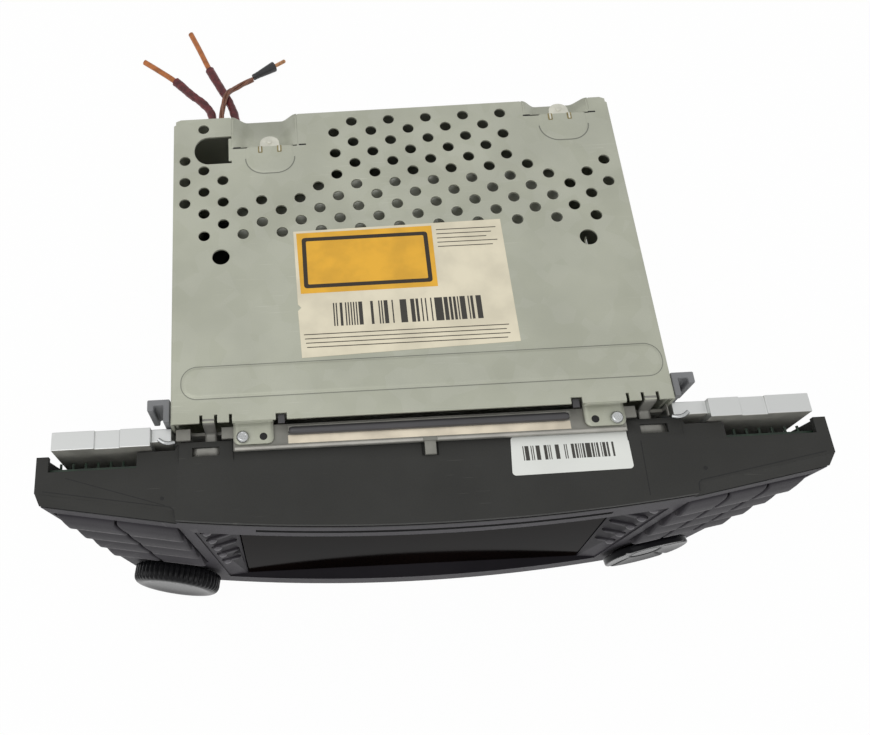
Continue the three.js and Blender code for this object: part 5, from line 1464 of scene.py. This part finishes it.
@dataclass
class Fascia:
    """Dark top housing with its seams, dots and label, and the front bezel with its dark disc slot."""

    top: float = 110.0
    block_top: float = 104.4
    centre_top: float = 106.6
    lip_setback: float = 3.5
    slot: tuple[float, float, float] = (64.5, 97.4, 101.1)
    surround_half: float = 82.0
    label_corners: tuple = ((28.0, -90.5), (70.8, -90.0), (70.7, -75.3), (29.0, -76.1))
    label_round: float = 1.3
    dots: tuple = ((-96.2, -92.1), (95.6, -91.2))
    left_seam: tuple = ((-131.1, -82.8), (-113.0, -88.8), (-95.1, -94.7))
    right_seam: tuple = ((75.4, -71.2), (74.9, -86.0), (74.5, -100.0))

    def bezel_finish(self, middles: Array, normals: Array) -> Array:
        """Finish numbers: the walls of the disc slot are black, and the display's surround is shaded."""
        x, y, z = middles.T
        half, low, high = self.slot
        deep = CHASSIS_FRONT - y < FACE.reach(x) - 2.2
        in_slot = (np.abs(x) < half) & (z > low) & (z < high)
        slot_wall = in_slot & (deep | (np.abs(normals[:, 2]) > 0.9))
        return np.where(slot_wall, 1, np.where(deep & (np.abs(x) < self.surround_half), 2, 0))

    def seams(self) -> None:
        """Draws the fine seams and grooves of the housing as narrow dark strips."""
        across = np.linspace(93.0, 139.0, 24)
        height = self.top + 0.02
        shapes = []
        for side in Side:
            groove = np.stack([side.value * across, FACE.y(across) + self.lip_setback + 0.9], -1)
            shapes.append(ribbon_shape(groove, 0.34, height))
            steps = FACE.y(92.0) + np.array([4.4, 4.0, 3.2, 0.6])
            corner = np.stack([side.value * np.array([93.2, 92.5, 92.0, 91.8]), steps], -1)
            shapes.append(ribbon_shape(corner, 0.4, height))
        shapes += [ribbon_shape(self.left_seam, 0.3, height), ribbon_shape(self.right_seam, 0.34, height)]
        put_shape("fascia_seams", shapes[0].joined(*shapes[1:]).facing_up(), DIMPLE)

    def line(self) -> None:
        """Makes the black joint between the housing and the bezel, which runs right across the face."""
        block, centre = self.block_top, self.centre_top
        runs = ((-139.5, -92.2, block), (-91.6, 91.6, centre), (92.2, 139.5, block))
        for number, (x0, x1, z) in enumerate(runs, 1):
            x = np.linspace(x0, x1, 60)
            rows = [(0.16, z - 0.5), (0.2, z), (0.16, z + 0.75)]
            points = [np.stack([x, FACE.y(x, proud), np.full(60, height)], -1) for proud, height in rows]
            put_shape(f"fascia_joint_{number}", grid_shape(np.stack(points)), DIMPLE)

    def label(self) -> None:
        """Makes the small label and the two dots of the housing's top."""
        corners = np.array(self.label_corners)
        centres = corners + np.sign(corners.mean(0) - corners) * self.label_round
        outline = rounded_corners(centres, self.label_round, 5, first=2)
        put_plate("fascia_label", [outline], (self.top, self.top + 0.12), 0.02, WHITE_FILM)
        for number, (x, y) in enumerate(self.dots, 1):
            dot = circle(x, y, 0.75, 20)
            put_plate(f"fascia_dot_{number}", [dot], (self.top - 0.2, self.top + 0.04), 0.01, DIMPLE)

    def build(self) -> None:
        """Makes the housing, the bezel, the window and all marks."""
        refined("fascia_housing", FASCIA, 0.5)
        bezel = refined("front_bezel", (BEZEL, DIMPLE, SURROUND), 0.35, pick=self.bezel_finish)
        refined("display_window", GLASS, 0.4)
        self.seams()
        self.line()
        self.label()


@dataclass
class KeyBlocks:
    """Slat-shaped keys in two blocks: each row swells towards its lower edge, which is painted paler for
    rubbing and a highlight.
    """

    high: float = 97.0
    pitch: float = 14.4
    gap: float = 0.8
    rows: int = 4
    margin: float = 1.4
    proud: float = 2.6
    chamfer: float = 0.9
    body: float = 7.0
    bow: float = 1.0
    blur: float = 0.06
    shares: tuple = ((0, 0.08), (0.12, 0.35), (0.5, 0.77), (0.85, 1), (1, 0.62))
    columns: dict = field(
        default_factory=lambda: {Side.LEFT: ("function_key", 2), Side.RIGHT: ("number_key", 3)}
    )

    def key(self, side: Side, column: int, columns: int, row: int) -> tuple[Shape, Array]:
        """Shape of one key: x runs between its slanted ends, with the ends between two keys bowed as a sine.

        The front stands proud by a smooth curve of the share down, less a quarter-round rim at the border.

        Args:
            side: Its block.
            column: Its column, from the inside.
            columns: Columns in the block.
            row: Its row, from the top.

        Returns:
            The shape, and how rubbed and lit each point is painted.
        """
        high = self.high - row * self.pitch
        low = high - self.pitch + self.gap
        gap_share = self.gap / (2 * (FACE.half_width(low) - FACE.block_inner(low)))
        first = column / columns + (gap_share if column else 0)
        last = (column + 1) / columns - (gap_share if column < columns - 1 else 0)
        up = border_steps(high - low, self.chamfer, 14)
        z = (low + up)[:, None]
        inner = FACE.block_inner(z) + self.margin + self.gap
        outer = FACE.half_width(z) - self.margin - self.gap
        width = float((outer - inner).mean() * (last - first))
        along = border_steps(width, self.chamfer, 12) / width
        share = first + (last - first) * along[None]
        down = 1 - up[:, None] / (high - low)
        x = inner + (outer - inner) * share + self.bow * 4 * share * (1 - share) * np.sin(2 * math.pi * down)
        curve = np.array(self.shares).T
        swell = sum(np.interp(np.clip(down + step, 0, 1), *curve) for step in (0, -self.blur, self.blur)) / 3
        to_side = np.minimum(along, 1 - along)[None] * width
        to_end = np.minimum(up, (high - low) - up)[:, None]
        rim = sum(1 - np.sqrt(1 - (1 - np.minimum(d / self.chamfer, 1)) ** 2) for d in (to_side, to_end))
        proud = self.proud * swell - self.chamfer * np.minimum(rim, 1)
        z_grid = np.broadcast_to(z, x.shape)
        front = np.stack([x, FACE.y(x, proud), z_grid], -1)
        back = np.stack([x, FACE.y(x, -self.body), z_grid], -1)
        # Paler towards each key's nose and lower part, less at its sides: rubbing and painted highlight
        nose = np.exp(-(((down - 0.84) / 0.07) ** 2))
        worn = (nose + 0.25 * np.clip((down - 0.35) / 0.5, 0, 1)) * np.clip(to_side / 2.5, 0.3, 1) * 0.8
        wear = np.pad(np.broadcast_to(worn, x.shape), 1)
        return slab_shape(front, back).mirrored(side), wear

    def build(self) -> None:
        """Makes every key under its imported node's name."""
        for side, (name, columns) in self.columns.items():
            for row in range(self.rows):
                for column in range(columns):
                    from_left = columns - column if side is Side.LEFT else column + 1
                    node = f"{name}_{row * columns + from_left}"
                    shape, wear = self.key(side, column, columns, row)
                    piece = put_shape(f"{node}_cap", shape, KEYS, node, [node], crease=60, wear=wear)


@dataclass
class SoftKeys:
    """Slender keys beside the display: a round bulb and a thin rib under a dark leaf-shaped strip, which is
    painted shade of a groove.
    """

    wide: float = 2.2
    narrow: float = 1.1
    proud: float = 1.1
    end: float = 1.5
    count: int = 5
    recess_top: float = 92.5
    recess_height: float = 81.5
    glass_half: float = 72.0
    glass_widening: float = 1.5
    glass_reach: float = 27.5
    glass_lean: float = 5.0
    cheek_margin: float = 3.2
    cheek_sink: float = 0.6

    def line_of(self, z: float, side: Side) -> tuple[Array, Array, Array, float]:
        """Places a key on the cheek, which runs straight from the glass's edge to the block's.

        Args:
            z: The key's height.
            side: Its side of the display.

        Returns:
            The bulb's middle, the directions inwards and out, and the length to the tip's middle.
        """
        share = (self.recess_top - z) / self.recess_height
        glass_y = CHASSIS_FRONT - self.glass_reach - self.glass_lean * share
        inner = np.array([self.glass_half + self.glass_widening * share, glass_y, z])
        outer_x = float(FACE.block_inner(z)) - self.cheek_margin
        outer = np.array([outer_x, float(FACE.y(outer_x)) + self.cheek_sink, z])
        run = inner - outer
        length = float(np.linalg.norm(run))
        inward = run / length
        out = np.cross(inward, UP)
        out *= np.sign(-out[1])
        bulb = outer + inward * (self.end + self.wide)
        mirror = np.array([side.value, 1, 1])
        return bulb * mirror, inward * mirror, out * mirror, length - 2 * self.end - self.wide - self.narrow

    def groove(self, z: float, side: Side) -> Shape:
        """A dark leaf-shaped strip over the rib, painted shade of a groove: it curls round the bulb, widest
        at a third of its run.
        """
        bulb, inward, out, length = self.line_of(z, side)
        t = np.linspace(0, 1, 24)[:, None]
        up = np.array(UP)
        height = 2.0 + 1.1 * np.sin(math.pi * t) + 1.5 * t * t
        middle = bulb + inward * (length * 1.02 * t - 1.9 * (1 - t) ** 3) + up * height + out * 0.07
        half = 0.95 * np.sin(math.pi * np.clip(t, 0.015, 0.985) ** 0.62) ** 0.8
        points = np.stack([middle - half * up, middle + half * up], 0)
        normal = np.cross(points[0, 1] - points[0, 0], points[1, 0] - points[0, 0])
        return grid_shape(points) if normal @ out > 0 else grid_shape(points).turned_over()

    def build(self) -> None:
        """Makes the ten keys with their bulbs, and the dark strips of painted groove shade above them."""
        grooves = []
        steps = ((1.7, -0.2), (1.7, 0.0), (1.5, 0.45), (1.05, 0.8), (0.5, 0.95), (0.1, 1.0))
        dome = [(radius, self.proud + height) for radius, height in steps]
        for side in Side:
            for number in range(1, self.count + 1):
                node = f"soft_key_{side.word}_{number}"
                low, high = node_box(node)
                z = (low[2] + high[2]) / 2
                refined(node, KEYS, 0.5, 25)
                bulb, _, out, _ = self.line_of(z, side)
                # The bulb's paler finish is a painted highlight
                button = turned_shape(dome, 20, bulb, upright_axes(out))
                put_shape(f"{node}_bulb", button, BULB, node, crease=60)
                grooves.append(self.groove(z, side))
        put_together("soft_key_grooves", grooves, DIMPLE)


@dataclass
class VolumeKnob:
    """Glossy knob: a turned body with fine ribs round its side and a shallow dish in its face."""

    radius: float = 18.8
    seat: float = 1.2
    depth: float = 8.0
    ribs: int = 48
    rib_depth: float = 0.8

    def ribbed(self, radius: Array, angle: Array) -> Array:
        """Radius with ribs on the side: round crests and narrow valleys, as a power of a cosine."""
        side = np.clip((radius - self.radius + 1.6) / 1.2, 0, 1)
        valley = (0.5 - 0.5 * np.cos(self.ribs * angle)) ** 1.6
        return radius - self.rib_depth * valley * side

    def build(self) -> None:
        """Makes the knob about its joint's axis."""
        place, axis = joint_place("volume_knob_turn")
        axes = upright_axes(axis / np.linalg.norm(axis))
        face_point = np.array([place[0], FACE.y(place[0]), place[2]])
        r, seat, high = self.radius, self.seat, self.seat + self.depth
        profile = [
            (3.0, seat), (r - 1.0, seat), (r - 0.3, seat + 0.25), (r, seat + 0.7), (r, seat + 2.2),
            (r, seat + 3.8), (r, high - 3.2), (r - 0.12, high - 2.4), (r - 0.5, high - 1.5),
            (r - 1.2, high - 0.75), (r - 2.2, high - 0.25), (r - 3.4, high), (r - 4.6, high - 0.1),
            (r - 6.5, high - 0.5), (8.0, high - 0.85), (3.0, high - 1.0), (0.2, high - 1.0),
        ]
        shape = turned_shape(profile, self.ribs * 8, face_point, axes, self.ribbed)
        piece = put_shape("volume_knob_turned", shape, KNOB, "volume_knob", ["volume_knob"], crease=50)


@dataclass
class CursorRocker:
    """Glossy four-way rocker: a lobed dish with grooves between its four pads and a ring round its middle."""

    radius: float = 18.4
    lobe: float = 0.045
    back: float = 1.5
    proud: float = 4.4
    dish: float = 1.4
    sides: int = 120
    facing: tuple[float, float, float] = (0.17287, -0.98494, 0.0)
    ahead: float = 7.7
    hub: float = 0.3
    ring_share: float = 0.37
    groove_depth: float = 0.55
    ring_depth: float = 0.5
    rim_share: float = 0.93
    rim_depth: float = 0.7

    def build(self) -> None:
        """Makes the rocker's face as height over a grid of radius and angle: dish, grooves and ring."""
        place, _ = joint_place("rocker_tilt_up_down")
        w = np.array(self.facing)
        axes = upright_axes(w)
        runs = (np.linspace(0.01, 0.3, 6), np.linspace(0.33, 0.42, 6), np.linspace(0.46, 0.9, 12))
        share = np.concatenate([*runs, [0.93, 0.96, 0.98, 0.992, 1.0]])
        angle = np.linspace(0, 2 * math.pi, self.sides, endpoint=False)
        s, a = np.meshgrid(share, angle, indexing="ij")
        edge = self.radius * (1 - self.lobe * (1 + np.cos(4 * a)) / 2)
        groove = np.exp(-((np.sin(2 * (a - math.pi / 4)) / 0.09) ** 2)) * np.clip((s - 0.42) / 0.1, 0, 1)
        ring = np.exp(-(((s - self.ring_share) / 0.03) ** 2))
        past = (np.maximum(s, self.rim_share) - self.rim_share) / 0.07
        rim = self.rim_depth * (1 - np.sqrt(np.clip(1 - past**2, 0, 1)))
        height = self.proud - self.dish * (1 - s * s) - self.groove_depth * groove
        height = height - self.ring_depth * ring - rim
        levels = np.repeat(np.array([[self.back], [self.back + 0.5]]), self.sides, 1)
        wall = np.stack([np.repeat(edge[-1:], 2, 0), levels], -1)
        inner = np.stack([np.full((1, self.sides), self.hub), np.full((1, self.sides), self.back)], -1)
        grid = np.concatenate([inner, wall, np.stack([s * edge, height], -1)[::-1]])
        radius, level = grid[..., :1], grid[..., 1:]
        cosine, sine = np.cos(angle)[None, :, None], np.sin(angle)[None, :, None]
        across, above = radius * cosine * axes[0], radius * sine * axes[1]
        points = place + w * self.ahead + across + above + level * axes[2]
        shape = grid_shape(points, wrap=True, caps=True)
        piece = put_shape("cursor_rocker_pad", shape, ROCKER, "cursor_rocker", ["cursor_rocker"], crease=60)


@dataclass
class Inside:
    """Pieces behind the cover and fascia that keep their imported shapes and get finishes."""

    finishes: dict = field(default_factory=lambda: {
        "chassis_tray": GALVANISED, "disc_drive": DRIVE_SHEET, "disc_feed_roller": RUBBER,
        "main_board": BOARD, "control_board": BOARD, "tuner_module": DRIVE_SHEET,
        "heat_sink": ANODISED, "harness_header": DARK_PLASTIC, "harness_plug": DARK_PLASTIC,
        "display_module": DARK_PLASTIC, "knob_shaft": PLATED, "rocker_gimbal": PLATED,
        "rocker_post": DARK_PLASTIC,
    })

    def build(self) -> None:
        """Gives every remaining node its finish."""
        for node, finish in self.finishes.items():
            mesh = frame["nodes"][node].data
            mesh.materials.clear()
            mesh.materials.append(finish.material())
            LOG.info("%s is finished in %s", node, finish.name)


PARTS = (
    Stage, SupplyLeads, TopCover, CoverScrews, FrontFrame, SideFixings, Fascia, KeyBlocks,
    SoftKeys, VolumeKnob, CursorRocker, Inside,
)


def main() -> None:
    """Builds the stage and every sub-assembly in order."""
    logging.basicConfig(level=logging.INFO, format="%(message)s")
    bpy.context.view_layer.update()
    for part in PARTS:
        part().build()
        LOG.info("%s done", part.__name__)


if __name__ == "__main__":
    main()
